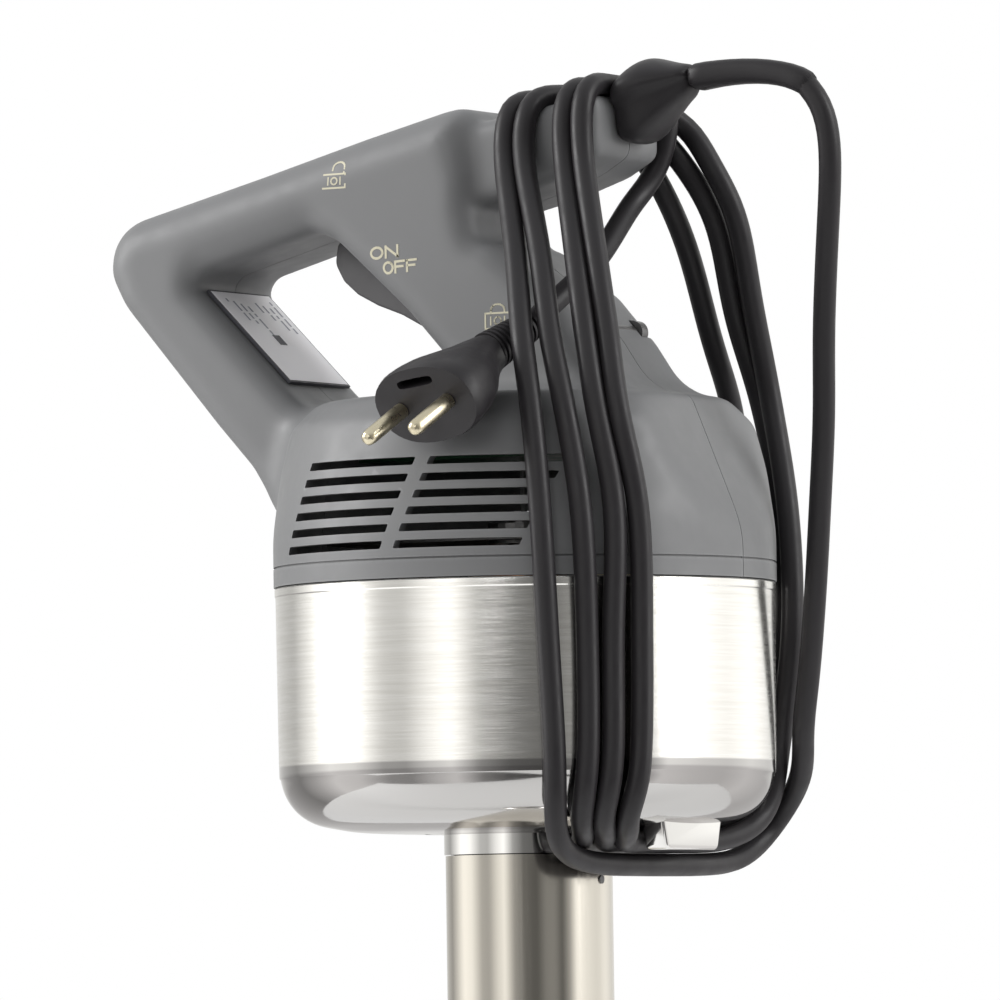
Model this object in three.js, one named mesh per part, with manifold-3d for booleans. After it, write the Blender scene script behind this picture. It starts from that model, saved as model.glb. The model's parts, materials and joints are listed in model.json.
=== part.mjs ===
// Stick blender power unit on its blending tube, with its mains cord wound round the handle.
// Millimetres, +Z up. While it is built, the tube's axis is X = Y = 0 and the bell's rim is Z = 0;
// the whole group is moved at the end so that the body's footprint is centred on the origin.
// +X is the front, where the cord enters; -X is the rear strut of the handle.
import * as THREE from "three";
import { mergeVertices } from "three/addons/utils/BufferGeometryUtils.js";
import Module from "manifold-3d";

const wasm = await Module();
wasm.setup();

// ---- driving dimensions ----
const GAP = 0.3; // between pieces that touch

const TUBE_RADIUS = 25;
const TUBE_WALL = 2.5;
const TUBE_TOP = 449;
const BELL_RADIUS = 52;
const BELL_HEIGHT = 52;
const BELL_WALL = 2.5;
const NOTCH_WIDTH = 22;
const NOTCH_HEIGHT = 22;
const SHAFT_RADIUS = 6;

const COLLAR_BOTTOM = 444;
const CAN_BOTTOM = 450.3;
const CAN_TOP = 524.4;
const CAN_RADIUS = 74.6;
const CAN_WALL = 1.6;

const HOUSING_RADIUS = 75.5;
const HOUSING_WALL = 3.2;
const HOUSING_BOTTOM = CAN_TOP + GAP;
const HOUSING_TOP = 580;
const HANDLE_HALF_WIDTH = 26;
const BAR_TIP_HALF_WIDTH = 20;
const HANDLE_EDGE = 7;
const SHELL_WALL = 4;

const FRONT_X = 75.5;
const REAR_X = -138;

const VENT_ROWS = 6;
const VENT_PITCH = 4.9;
const VENT_HEIGHT = 2.4;
const VENT_LOWEST = 534.6;

const CORD_RADIUS = 3.1;
const CORD_SIDES = 8;
const BAND_EDGE = 2.2; // how far a band of strands reaches past its outer strands' centres

const TRIGGER_PIVOT = [-42.5, 626];

// ---- materials ----
function material(color, roughness, metalness) {
  return new THREE.MeshStandardMaterial({ color, roughness, metalness });
}

const LOOKS = {
  brushedSteel: material(0xc9c7c2, 0.32, 1),
  polishedSteel: material(0xd8d6d2, 0.1, 1),
  tubeSteel: material(0xbfb8ab, 0.2, 1),
  darkSteel: material(0x77777a, 0.4, 1),
  greyPlastic: material(0x73757a, 0.55, 0),
  blackPlastic: material(0x222124, 0.5, 0),
  blackRubber: material(0x262427, 0.45, 0),
  plateLabel: material(0xc3c4d0, 0.5, 0),
  brass: material(0xb9a983, 0.3, 1),
  copper: material(0x9a5a33, 0.4, 1),
  carbon: material(0x1c1c1c, 0.8, 0),
  boardGreen: material(0x2f5a3c, 0.6, 0),
};

// ---- solids ----
function weld(geometry) {
  const bare = new THREE.BufferGeometry();
  const source = geometry.index ? geometry.toNonIndexed() : geometry;
  bare.setAttribute("position", source.getAttribute("position").clone());
  return mergeVertices(bare, 1e-4);
}

function solid(geometry) {
  const merged = weld(geometry);
  const corners = merged.index.array;
  const kept = [];
  for (let i = 0; i < corners.length; i += 3) {
    const [a, b, c] = [corners[i], corners[i + 1], corners[i + 2]];
    if (a !== b && b !== c && c !== a) kept.push(a, b, c);
  }
  const make = (triangles) =>
    new wasm.Manifold(
      new wasm.Mesh({
        numProp: 3,
        vertProperties: merged.attributes.position.array,
        triVerts: new Uint32Array(triangles),
      }),
    );
  const made = make(kept);
  return made.volume() >= 0 ? made : make(kept.toReversed());
}

function geometryOf(body) {
  const mesh = body.getMesh();
  const positions = new Float32Array(mesh.numVert * 3);
  for (let i = 0; i < mesh.numVert; i++) {
    const from = i * mesh.numProp;
    positions.set(mesh.vertProperties.subarray(from, from + 3), i * 3);
  }
  const geometry = new THREE.BufferGeometry();
  geometry.setAttribute("position", new THREE.BufferAttribute(positions, 3));
  geometry.setIndex(new THREE.BufferAttribute(mesh.triVerts, 1));
  geometry.computeVertexNormals();
  return geometry;
}

function join(...bodies) {
  return bodies.reduce((sum, body) => sum.add(body));
}

// A body turned from [radius, z] points about the Z axis; the profile closes on itself.
function turned(profile, segments = 32, x = 0, y = 0) {
  const points = [...profile, profile[0]].map(([r, z]) => new THREE.Vector2(r, z));
  return solid(
    new THREE.LatheGeometry(points, segments).rotateX(Math.PI / 2).translate(x, y, 0),
  );
}

function disc(radius, low, high, segments = 24, x = 0, y = 0) {
  return turned([[0, low], [radius, low], [radius, high], [0, high]], segments, x, y);
}

function ring(inner, outer, low, high, segments = 24, x = 0, y = 0) {
  const profile = [[inner, low], [outer, low], [outer, high], [inner, high]];
  return turned(profile, segments, x, y);
}

function block(x0, x1, y0, y1, z0, z1) {
  return solid(
    new THREE.BoxGeometry(x1 - x0, y1 - y0, z1 - z0).translate(
      (x0 + x1) / 2,
      (y0 + y1) / 2,
      (z0 + z1) / 2,
    ),
  );
}

// A box of the given size, turned by tilt about Y and then centred at (x, y, z).
function tiltedBlock(size, tilt, x, y, z) {
  return solid(new THREE.BoxGeometry(...size).rotateY(tilt).translate(x, y, z));
}

// An outline of [x, z] points run from y0 to y1, with its edges eased by bevel.
function plate(outline, y0, y1, bevel = 0, holes = []) {
  const shape = new THREE.Shape(outline.map(([x, z]) => new THREE.Vector2(x, z)));
  for (const hole of holes)
    shape.holes.push(new THREE.Path(hole.map(([x, z]) => new THREE.Vector2(x, z))));
  const geometry = new THREE.ExtrudeGeometry(shape, {
    depth: y1 - y0 - 2 * bevel,
    bevelEnabled: bevel > 0,
    bevelThickness: bevel,
    bevelSize: bevel,
    bevelOffset: -bevel,
    bevelSegments: 2,
  });
  return solid(geometry.rotateX(Math.PI / 2).translate(0, y1 - bevel, 0));
}

function aboutZ(body, angle) {
  return body.transform(new THREE.Matrix4().makeRotationZ(angle).toArray());
}

// A round rod along Y.
function crossRod(radius, x, z, y0, y1, segments = 16) {
  return solid(
    new THREE.CylinderGeometry(radius, radius, y1 - y0, segments).translate(x, (y0 + y1) / 2, z),
  );
}

// A tube of the cord's section along the points, with a step every stepLength.
function cordTube(points, radius = CORD_RADIUS, stepLength = 6 * CORD_RADIUS) {
  const places = points.map((p) => new THREE.Vector3(...p));
  const curve = new THREE.CatmullRomCurve3(places, false, "centripetal");
  const section = new THREE.Shape();
  for (let i = 0; i < CORD_SIDES; i++) {
    const angle = (2 * Math.PI * i) / CORD_SIDES;
    const at = [radius * Math.cos(angle), radius * Math.sin(angle)];
    i ? section.lineTo(...at) : section.moveTo(...at);
  }
  return solid(
    new THREE.ExtrudeGeometry(section, {
      steps: Math.max(2, Math.round(curve.getLength() / stepLength)),
      extrudePath: curve,
    }),
  );
}

// A closed skin over rings of points: each ring has the same count, and both ends are capped.
function loft(rings) {
  const count = rings[0].length;
  const positions = rings.flat().flatMap((p) => [p.x, p.y, p.z]);
  const triangles = [];
  for (let i = 0; i + 1 < rings.length; i++)
    for (let k = 0; k < count; k++) {
      const [a, b] = [i * count + k, i * count + ((k + 1) % count)];
      triangles.push(a, b, b + count, a, b + count, a + count);
    }
  const last = (rings.length - 1) * count;
  for (let k = 1; k + 1 < count; k++)
    triangles.push(0, k + 1, k, last, last + k, last + k + 1);
  const geometry = new THREE.BufferGeometry();
  geometry.setAttribute("position", new THREE.Float32BufferAttribute(positions, 3));
  geometry.setIndex(triangles);
  return solid(geometry);
}

// An ellipse of points round a centre, in the plane of the two half-axis vectors.
function ellipse(centre, halfA, halfB, count = 12) {
  return Array.from({ length: count }, (_, i) => {
    const angle = (2 * Math.PI * i) / count;
    return centre
      .clone()
      .addScaledVector(halfA, Math.cos(angle))
      .addScaledVector(halfB, Math.sin(angle));
  });
}

// A flat band one cord thick over strands that lie side by side. Each station lists the
// strands' centres; the first and last stations only give the direction of the ends.
function band(stations) {
  const rows = stations.map((row) => row.map((p) => new THREE.Vector3(...p)));
  const rings = [];
  for (let i = 1; i + 1 < rows.length; i++) {
    const inner = [];
    const outer = [];
    const width = rows[i].length;
    rows[i].forEach((centre, k) => {
      const along = rows[i + 1][k].clone().sub(rows[i - 1][k]).normalize();
      const next = rows[i][Math.min(k + 1, width - 1)];
      const across = next.clone().sub(rows[i][Math.max(k - 1, 0)]).normalize();
      const out = along.clone().cross(across).setLength(CORD_RADIUS);
      const at = centre.clone();
      if (i === 1) at.addScaledVector(along, GAP / 2);
      if (i === rows.length - 2) at.addScaledVector(along, -GAP / 2);
      if (k === 0) at.addScaledVector(across, -BAND_EDGE);
      if (k === width - 1) at.addScaledVector(across, BAND_EDGE);
      inner.push(at.clone().sub(out));
      outer.push(at.clone().add(out));
    });
    rings.push([...outer, ...inner.reverse()]);
  }
  return loft(rings);
}

// ---- steel: can, lug, collar, tube and bell ----
const CAN_OUTSIDE = [
  [31, CAN_BOTTOM], [48.8, 451], [57.6, 452], [66.6, 454.5], [71.7, 459],
  [73.9, 464], [CAN_RADIUS, 470], [CAN_RADIUS + 0.4, CAN_TOP],
];

function motorCan() {
  const inside = CAN_OUTSIDE.map(([r, z], i) =>
    i < 4 ? [i ? r - 0.4 : r, z + CAN_WALL] : [r - CAN_WALL, z + (i < 6 ? 0.8 : 0)],
  ).reverse();
  return turned([...CAN_OUTSIDE, ...inside], 48);
}

const LUG_X = [51, 57];
const LUG_Z = [444, 451];
const SPACE_OF_CAN = [
  [31, CAN_BOTTOM - GAP], [48.8, 451 - GAP], [57.6, 452 - GAP], [70, 455], [70, 470], [0, 470],
];

function rimSupportLug() {
  const outline = [[-20, LUG_Z[1]], [-16, LUG_Z[0]], [16, LUG_Z[0]], [20, LUG_Z[1]]];
  const upright = plate(outline, LUG_X[0], LUG_X[1], 0.6);
  return aboutZ(upright, -Math.PI / 2).subtract(turned(SPACE_OF_CAN, 48));
}

function tubeCollar() {
  return ring(TUBE_RADIUS - TUBE_WALL, 30.6, CAN_BOTTOM, CAN_BOTTOM + 6, 40)
    .add(ring(TUBE_RADIUS - TUBE_WALL, TUBE_RADIUS + 0.4, COLLAR_BOTTOM, CAN_BOTTOM + 1, 40));
}

function blendingTube() {
  return ring(TUBE_RADIUS - TUBE_WALL, TUBE_RADIUS, BELL_HEIGHT + 6, COLLAR_BOTTOM - GAP, 40);
}

function bladeBell() {
  const outside = [
    [BELL_RADIUS, 0], [BELL_RADIUS, 22], [49, 36], [40, 47], [TUBE_RADIUS + 1.5, BELL_HEIGHT],
    [TUBE_RADIUS + 1.5, BELL_HEIGHT + 6 - GAP], [14, BELL_HEIGHT + 6 - GAP],
  ];
  const inside = [
    [14, BELL_HEIGHT - 4], [38, 43.5], [46.2, 34], [BELL_RADIUS - BELL_WALL, 21],
    [BELL_RADIUS - BELL_WALL, 0],
  ];
  const notch = block(
    -NOTCH_WIDTH / 2, NOTCH_WIDTH / 2, -BELL_RADIUS - 8, -BELL_RADIUS + 17, -1, NOTCH_HEIGHT,
  );
  let bell = turned([...outside, ...inside], 40);
  for (let i = 0; i < 4; i++) bell = bell.subtract(aboutZ(notch, (i * Math.PI) / 2));
  return bell;
}

// ---- drive line inside the tube ----
const COUPLING_Z = 446;
const SHAFT_LOW = 12;
const BLADE_THICK = 2.4;

function driveShaft() {
  return disc(SHAFT_RADIUS, SHAFT_LOW, COUPLING_Z - 14, 16);
}

function couplingSocket() {
  return disc(11, COUPLING_Z - 14 + GAP, COUPLING_Z - GAP, 16).add(
    block(-9, 9, -2.5, 2.5, COUPLING_Z - 2, COUPLING_Z + 3),
  );
}

function driveCoupling() {
  return disc(11, COUPLING_Z, COUPLING_Z + 12, 16).subtract(
    block(-12, 12, -3.2, 3.2, COUPLING_Z - 1, COUPLING_Z + 4),
  );
}

function bladeSolid() {
  const outline = [
    [-30, 0], [-24, -7], [-8, -8], [0, -10], [8, -8], [24, -5], [30, 0], [24, 7], [8, 8],
    [0, 10], [-8, 8], [-24, 5],
  ];
  const level = new THREE.Matrix4().makeRotationX(-Math.PI / 2).setPosition(0, 0, SHAFT_LOW - GAP);
  return plate(outline, 0, BLADE_THICK).transform(level.toArray());
}

function bladeNut() {
  return disc(6, 5, SHAFT_LOW - 2 * GAP - BLADE_THICK, 6);
}

// ---- motor ----
const STATOR_Z = [482, 516];
const ARMATURE_RADIUS = 32;
const MOTOR_SHAFT_RADIUS = 5;
const BRUSH_Z = [524, 530];
const SHAFT_TOP = 545;

function motorShaft() {
  return disc(MOTOR_SHAFT_RADIUS, COUPLING_Z + 12 + GAP, SHAFT_TOP, 16);
}

function ringOnShaft(radius, low, high, segments = 24) {
  return ring(MOTOR_SHAFT_RADIUS + GAP, radius, low, high, segments);
}

function fanWheel() {
  let fan = ringOnShaft(12, 471, 479).add(ring(11.5, 50, 471, 472.5, 32));
  for (let i = 0; i < 8; i++)
    fan = fan.add(aboutZ(block(14, 49, -1, 1, 472, 479), (i * Math.PI) / 4));
  return fan;
}

function statorCore() {
  const bore = disc(ARMATURE_RADIUS + 1, STATOR_Z[0] - 1, STATOR_Z[1] + 1, 36);
  const body = disc(58, ...STATOR_Z, 36).subtract(bore);
  return [1, -1].reduce(
    (core, side) => core.subtract(block(-26, 26, side * 49 - 11, side * 49 + 11, 470, 530)),
    body,
  );
}

function fieldWinding(side) {
  return plate([[-24, 486], [24, 486], [24, 512], [-24, 512]], side * 46 - 6, side * 46 + 6, 2);
}

function bearingBracket(low, high, hole) {
  const plateBody = block(-60, 60, -16, 16, low, high);
  return plateBody.subtract(disc(hole, low - 1, high + 1, 24));
}

// A block beside the commutator, reaching from one radius to another to the front or the rear.
function besideCommutator(side, inner, outer, halfWidth, low, high) {
  const [x0, x1] = side > 0 ? [inner, outer] : [-outer, -inner];
  return block(x0, x1, -halfWidth, halfWidth, low, high);
}

function brush(side) {
  return besideCommutator(side, 17.5, 33, 3, ...BRUSH_Z);
}

function brushHolder(side) {
  const [low, high] = BRUSH_Z;
  const slot = besideCommutator(side, 17, 34, 3 + GAP, low - GAP, high + GAP);
  return besideCommutator(side, 21, 41, 6, low - 3, high + 3).subtract(slot);
}

// ---- grey housing with its handle, in two halves that part at Y = 0 ----
const HANDLE_OUTLINE = [
  [-66, 545], [-76, 551], [-83, 562], [-96, 576], [-130, 612], [-138, 623], [-138, 631], [-134, 637],
  [-126, 640], [-81, 651], [-44, 660.5], [-4, 670], [-4, 636],
  [-2, 627.5], [3.5, 625.5], [22.6, 611], [35, 597], [46, 581], [54, 562], [40, 548],
];
const BAR_TIP_OUTLINE = [
  [-12, 662], [38.6, 670], [38.6, 652], [29, 646.5], [10, 640.4], [-12, 636],
];
const HAND_HOLE = [
  [-103, 618], [-99.5, 622.5], [-60, 633], [-52, 629.5], [-27, 607], [-10.5, 589], [-12, 576],
  [-60, 576], [-71, 586],
];
const BAR_CAVITY = [
  [-126, 633], [-128, 628], [-108, 628], [-56, 640], [-4, 641], [34, 656], [34, 664.5],
  [-8, 657.5], [-44, 655],
];
const STRUT_CAVITY = [
  [-126, 632], [-131, 624], [-84, 570], [-70, 556], [-60, 570], [-76, 585], [-110, 624],
];
const PILLAR_CAVITY = [
  [-46, 634], [-6, 638], [-8, 624], [16, 609], [28, 595], [40, 576], [-4, 576], [-6, 590],
  [-22, 610],
];

const HOUSING_OUTSIDE = [
  [HOUSING_RADIUS, HOUSING_BOTTOM], [HOUSING_RADIUS, 538], [73.2, 557], [70.4, 570],
  [67, 576.5], [60, HOUSING_TOP],
];
const HOUSING_INSIDE = [
  [58, HOUSING_TOP - HOUSING_WALL], [65, 573.5], [67.4, 568], [70, 556],
  [HOUSING_RADIUS - HOUSING_WALL, 537], [HOUSING_RADIUS - HOUSING_WALL, HOUSING_BOTTOM],
];

// What lies beyond the flat that slopes back up the housing's front, brought in by inset.
const FRONT_SLOPE = [[76, 538], [58.7, 578.7], [58.7, 600], [110, 600], [110, 538]];

function beyondFrontSlope(inset) {
  return plate(FRONT_SLOPE.map(([x, z]) => [x - inset, z]), -90, 90);
}

// The slots of one row run from a slanted end to a slanted divider, and from it to the other end.
function ventSlots() {
  const slots = [];
  for (let row = 0; row < VENT_ROWS; row++) {
    const z = VENT_LOWEST + row * VENT_PITCH;
    const slant = 2 * row;
    const spans = [[-45.5 + slant, -4 + slant], [0.5 + slant, 38 + slant]];
    for (const side of [-1, 1])
      for (const [x0, x1] of spans)
        slots.push(
          block(x0, x1, side * 66 - 15, side * 66 + 15, z - VENT_HEIGHT / 2, z + VENT_HEIGHT / 2),
        );
  }
  return join(...slots);
}

function handleSolid() {
  return plate(HANDLE_OUTLINE, -HANDLE_HALF_WIDTH, HANDLE_HALF_WIDTH, HANDLE_EDGE).add(
    plate(BAR_TIP_OUTLINE, -BAR_TIP_HALF_WIDTH, BAR_TIP_HALF_WIDTH, 5),
  );
}

function cavitySolid() {
  const inner = turned([...HOUSING_INSIDE, [0, HOUSING_BOTTOM], [0, HOUSING_TOP - HOUSING_WALL]], 48);
  const half = HANDLE_HALF_WIDTH - SHELL_WALL;
  const tipHalf = BAR_TIP_HALF_WIDTH - SHELL_WALL;
  return join(
    inner.subtract(beyondFrontSlope(HOUSING_WALL + 0.5)),
    plate(BAR_CAVITY, -tipHalf, tipHalf),
    plate(STRUT_CAVITY, -tipHalf, tipHalf),
    plate(PILLAR_CAVITY, -half + 3, half - 3),
  );
}

const TRIGGER_POCKET = [
  [-58, 634], [-40, 634], [-14, 612], [-14, 599], [-30, 595], [-56, 614], [-66, 620], [-66, 630],
];
const SCREW_PLACES = [[-118, 619], [-79, 572], [-20, 655], [30, 600]];
const SCREW_HEAD = 3.6;
const SCREW_RADIUS = 2;

function housingHalf(side, whole) {
  const [y0, y1] = side > 0 ? [GAP / 2, 100] : [-100, -GAP / 2];
  return whole.intersect(block(-160, 90, y0, y1, 520, 700));
}

function housingWhole() {
  const body = turned([...HOUSING_OUTSIDE, [0, HOUSING_TOP], [0, HOUSING_BOTTOM]], 48);
  const hole = plate(HAND_HOLE, -HANDLE_HALF_WIDTH - 1, HANDLE_HALF_WIDTH + 1).subtract(body);
  const triggerPocket = plate(TRIGGER_POCKET, -9, 14.5).add(
    crossRod(PIN_RADIUS + GAP, ...TRIGGER_PIVOT, -PIN_END - GAP, PIN_END + GAP),
  );
  let whole = body
    .subtract(beyondFrontSlope(0))
    .add(handleSolid().subtract(hole))
    .subtract(cavitySolid())
    .subtract(ventSlots())
    .subtract(triggerPocket);
  for (const [x, z] of SCREW_PLACES) {
    whole = whole.add(crossRod(SCREW_HEAD + 2.5, x, z, -20, 20));
    whole = whole.subtract(crossRod(SCREW_RADIUS + GAP, x, z, -18, 30));
    whole = whole.subtract(crossRod(SCREW_HEAD + GAP, x, z, 14, 40));
  }
  const buttonHole = crossRod(LOCK_RADIUS + GAP, ...LOCK_AT, 5, 40);
  return whole.subtract(buttonHole);
}

function housingScrew([x, z]) {
  return crossRod(SCREW_RADIUS, x, z, -16, 15).add(crossRod(SCREW_HEAD, x, z, 14.5, 18));
}

// ---- controls in the pillar ----
const LOCK_AT = [6, 604];
const LOCK_RADIUS = 5;
const LOCK_FACE = 27.5;

function lockButton() {
  return crossRod(LOCK_RADIUS, ...LOCK_AT, 15, LOCK_FACE).add(
    crossRod(LOCK_RADIUS + 2, ...LOCK_AT, 16.4, 18.4),
  );
}

const TRIGGER_OUTLINE = [
  [-60, 630], [-61, 624], [-58, 618.5], [-53, 614.2], [-46, 610.6], [-37.5, 607.4], [-30, 603.4],
  [-25, 602], [-22, 604], [-27, 608.5], [-43, 624.5], [-48, 630.5], [-54, 632.5],
];
const PIN_RADIUS = 2;
const PIN_END = 19;
const PIN_BOSS_RADIUS = 4.2;

function triggerLever() {
  return plate(TRIGGER_OUTLINE, -8, 8, 1.5)
    .add(crossRod(PIN_BOSS_RADIUS, ...TRIGGER_PIVOT, -8, 8))
    .subtract(crossRod(PIN_RADIUS + 0.2, ...TRIGGER_PIVOT, -10, 10));
}

function triggerPin() {
  return crossRod(PIN_RADIUS, ...TRIGGER_PIVOT, -PIN_END, PIN_END, 12);
}

// A torsion spring wound on the trigger's pin beside the lever, with one leg along it.
function triggerSpring() {
  const coil = crossRod(3.6, ...TRIGGER_PIVOT, 9.2, 13, 16);
  const leg = tiltedBlock([16, 1, 1], Math.PI / 4, -39, 12, 618.3);
  return coil.add(leg).subtract(crossRod(PIN_RADIUS + GAP, ...TRIGGER_PIVOT, 8, 14));
}

const SWITCH_X = [-36, -16];
const SWITCH_Z = [621, 631];
const PLUNGER_X = -29;
const PLUNGER_Z = [612.6, 626];

function microSwitch() {
  return block(...SWITCH_X, -7, 7, ...SWITCH_Z).subtract(
    disc(2.2, SWITCH_Z[0] - 1, SWITCH_Z[0] + 9.6, 12, PLUNGER_X),
  );
}

function switchPlunger() {
  return disc(1.8, ...PLUNGER_Z, 12, PLUNGER_X);
}

function inletSocket() {
  return block(16, 32, -9, 9, 656, 661).subtract(block(20, 33, -6, 6, 657.5, 659.5));
}

function ratingPlate() {
  return tiltedBlock([41, 34, 0.8], Math.PI / 4, -86.5, 0, 602.7);
}

// ---- mains connector and strain relief ----
const CONNECTOR_OUTLINE = [
  [39, 655], [39, 677], [41.5, 680.5], [47, 683], [53, 682.3], [61, 679], [61, 669.5],
  [57, 665], [52, 659], [46, 655.5],
];
const RELIEF_SECTIONS = [
  [61.4, 673.6, 5, 7.5], [66, 674.4, 4.5, 6], [74, 674.9, 4, 4.8], [83, 674.7, 3.8, 4.4],
  [90.5, 673.6, 3.7, 4.1], [97, 671.7, 3.5, 3.9], [100.8, 669, 3.4, 3.7],
];

function cableConnector() {
  return plate(CONNECTOR_OUTLINE, -13, 13, 2);
}

function strainRelief() {
  const rings = RELIEF_SECTIONS.map(([x, z, halfZ, halfY], i) => {
    const [x0, z0] = RELIEF_SECTIONS[Math.max(i - 1, 0)];
    const [x1, z1] = RELIEF_SECTIONS[Math.min(i + 1, RELIEF_SECTIONS.length - 1)];
    const up = i ? new THREE.Vector3(z0 - z1, 0, x1 - x0).normalize() : new THREE.Vector3(0, 0, 1);
    return ellipse(
      new THREE.Vector3(x, 0, z),
      up.multiplyScalar(halfZ),
      new THREE.Vector3(0, halfY, 0),
    );
  });
  return loft(rings);
}

// ---- mains cord: lead, four turns round the handle's tip and the can, and tail to the plug ----
const LEAD_ROUTE = [
  [102.1, 0, 667.7], [104.4, 0.5, 663.6], [105.6, 1.6, 657.4], [105.4, 3.2, 649], [103, 6.5, 636.5],
  [98.6, 12, 619], [94, 18, 598], [89.6, 25, 572], [84, 32, 548], [78, 39, 522], [71.5, 46, 498],
  [65.5, 52, 480], [61, 60, 470], [54, 67, 462], [46, 69, 453], [43.4, 61, 445.5], [42.5, 49, 441.4],
  [42.5, 30, 440.2], [42.5, 10, 440], [42, -10, 440], [41, -30, 440.4], [41.3, -46, 442.8],
  [42.4, -54.5, 446.8], [45, -59.6, 453], [46.7, -62.2, 461], [47.1, -62.9, 469.7],
];
const TAIL_ROUTE = [
  [38, 23.8, 662], [37.4, 23.9, 658.5], [36.2, 24, 654.5], [33, 23.6, 647], [30, 17, 640],
  [31, 4, 630], [32, -9, 620.5], [31.5, -22, 612.5], [29.5, -32, 606], [26.9, -41.6, 598.9],
];
const TOP_TURNS = [
  [[10.8, -13, 668.9], [18, -13, 670], [29.8, -13, 671.9], [35.5, -13, 672.8]],
  [[14, 0, 669.6], [21.5, 0, 670.8], [28.4, 0, 671.9], [34.9, 0, 672.9]],
  [[16, 13, 669.7], [22.4, 13, 670.7], [28.8, 13, 671.7], [35.2, 13, 672.8]],
];
const NEAR_SHOULDER = [
  [10.2, -17.9, 669], [17.2, -17.9, 670.1], [29.7, -17.9, 672.1], [35.9, -17.9, 673.1],
];
const FAR_SHOULDER = [
  [17.5, 17.9, 670.2], [24, 17.9, 671.2], [30.4, 17.9, 672.2], [36.8, 17.9, 673.2],
];
const FAR_EDGE = [[20, 23.4, 665.7], [26.8, 23.4, 666.7], [33.3, 23.4, 667.8], [39, 23.4, 668.7]];
const FRONT_TURNS = [
  [[9.8, -23.4, 664], [16.5, -23.4, 665.1], [29.9, -23.4, 667.2], [36.2, -23.4, 668.2]],
  [[9.5, -24.4, 654], [16, -24.4, 654], [30, -24.4, 654], [36.5, -24.4, 654]],
  [[24.5, -43.5, 620], [32, -42, 620], [42.6, -39.5, 620], [48.6, -37.5, 620]],
  [[35, -58, 594], [42.4, -54, 594], [51.3, -48.8, 594], [57, -45.2, 594]],
  [[40.9, -63.4, 574], [49.2, -58.2, 574], [57, -53.3, 574], [62.4, -49.9, 574]],
  [[44.8, -65.6, 545], [54.2, -58, 545], [61.2, -50.6, 545], [66, -45, 545]],
  [[45.9, -63.8, 505], [54.8, -56.3, 505], [60.2, -50.6, 505], [65.8, -43.4, 505]],
  [[47.1, -62.9, 470], [54.6, -56.5, 470], [59.8, -51, 470], [65.1, -43.9, 470]],
  [[46.5, -62, 461], [53.5, -56.5, 461], [58.6, -51.2, 461], [64, -44.2, 461]],
];
const UNDER_TURNS = [
  [[49.9, -53.3, 453.2], [54.4, -48.8, 453.2], [59.1, -43, 453.2]],
  [[45, -43.2, 448.9], [50, -38.5, 448.9], [54.5, -33, 448.9]],
  [[35.5, -28, 447.2], [42, -27.5, 447.2], [48.2, -27, 447.2]],
  [[30.4, 0, 446.8], [37, 0, 446.8], [43.6, 0, 446.8]],
  [[30, 36, 447.4], [38, 36, 447.4], [46, 36, 447.4]],
  [[29, 55.3, 448.9], [40, 48, 448.9], [47.5, 42, 448.9]],
  [[28.9, 67.2, 453.2], [42.2, 59.7, 453.2], [48.7, 54.6, 453.2]],
];
const BACK_TURNS = [
  [[29.5, 72.2, 461], [45, 63.6, 461], [51, 58.9, 461]],
  [[30, 72.8, 470], [46, 64.2, 470], [52, 59.7, 470]],
  [[32.7, 74.4, 510], [57.2, 57, 510], [62.8, 51.2, 510]],
  [[31.9, 75.4, 545], [55, 59.8, 545], [60.6, 54, 545]],
  [[31, 73.4, 577], [45, 66, 580], [51, 61.4, 580]],
  [[33, 57, 600], [44, 52.5, 606], [51, 51.2, 608]],
  [[33, 41, 630], [44.5, 40, 635], [52, 39, 637]],
  [[30, 28.5, 649], [39.5, 32, 650], [47, 33.5, 651]],
  [[24, 25.2, 659.5], [31, 28.2, 661.5], [39.3, 32.4, 663.5]],
];

const lastThree = (row) => row.slice(1);
const firstThree = (row) => row.slice(0, 3);

function turnsOnTop() {
  return band([FRONT_TURNS[0], NEAR_SHOULDER, ...TOP_TURNS, FAR_SHOULDER, FAR_EDGE]);
}

function turnsInFront() {
  return band([TOP_TURNS[0], NEAR_SHOULDER, ...FRONT_TURNS]);
}

function turnsUnderCan() {
  return band([
    FRONT_TURNS.at(-3), FRONT_TURNS.at(-2), FRONT_TURNS.at(-1),
  ].map(lastThree).concat(UNDER_TURNS, BACK_TURNS.slice(0, 3)));
}

function turnsBehind() {
  return band([...BACK_TURNS, ...[FAR_EDGE, FAR_SHOULDER, TOP_TURNS[2]].map(firstThree)]);
}

// ---- plug: pins point along PLUG_OUT, side by side along PLUG_ACROSS ----
const PLUG_BASE = new THREE.Vector3(19, -86.7, 574.3);
const PLUG_BACK = new THREE.Vector3(23.6, -58.2, 590.8);
const PLUG_OUT = PLUG_BASE.clone().sub(PLUG_BACK).normalize();
const PLUG_ACROSS = new THREE.Vector3(0.974, -0.185, 0.12).projectOnPlane(PLUG_OUT).normalize();
const PLUG_THICK = PLUG_OUT.clone().cross(PLUG_ACROSS);
const PIN_SPACING = 19;

function plugRing(centre, halfWidth, halfThickness) {
  return ellipse(
    centre,
    PLUG_ACROSS.clone().multiplyScalar(halfWidth),
    PLUG_THICK.clone().multiplyScalar(halfThickness),
    16,
  );
}

function along(from, distance, direction = PLUG_OUT) {
  return from.clone().addScaledVector(direction, distance);
}

function plugBody() {
  return loft([
    plugRing(PLUG_BACK, 6.5, 6), plugRing(along(PLUG_BACK, 7), 9, 7.5),
    plugRing(along(PLUG_BACK, 16), 14, 9), plugRing(along(PLUG_BACK, 25), 18, 11),
    plugRing(PLUG_BASE, 19, 12),
  ]);
}

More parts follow.
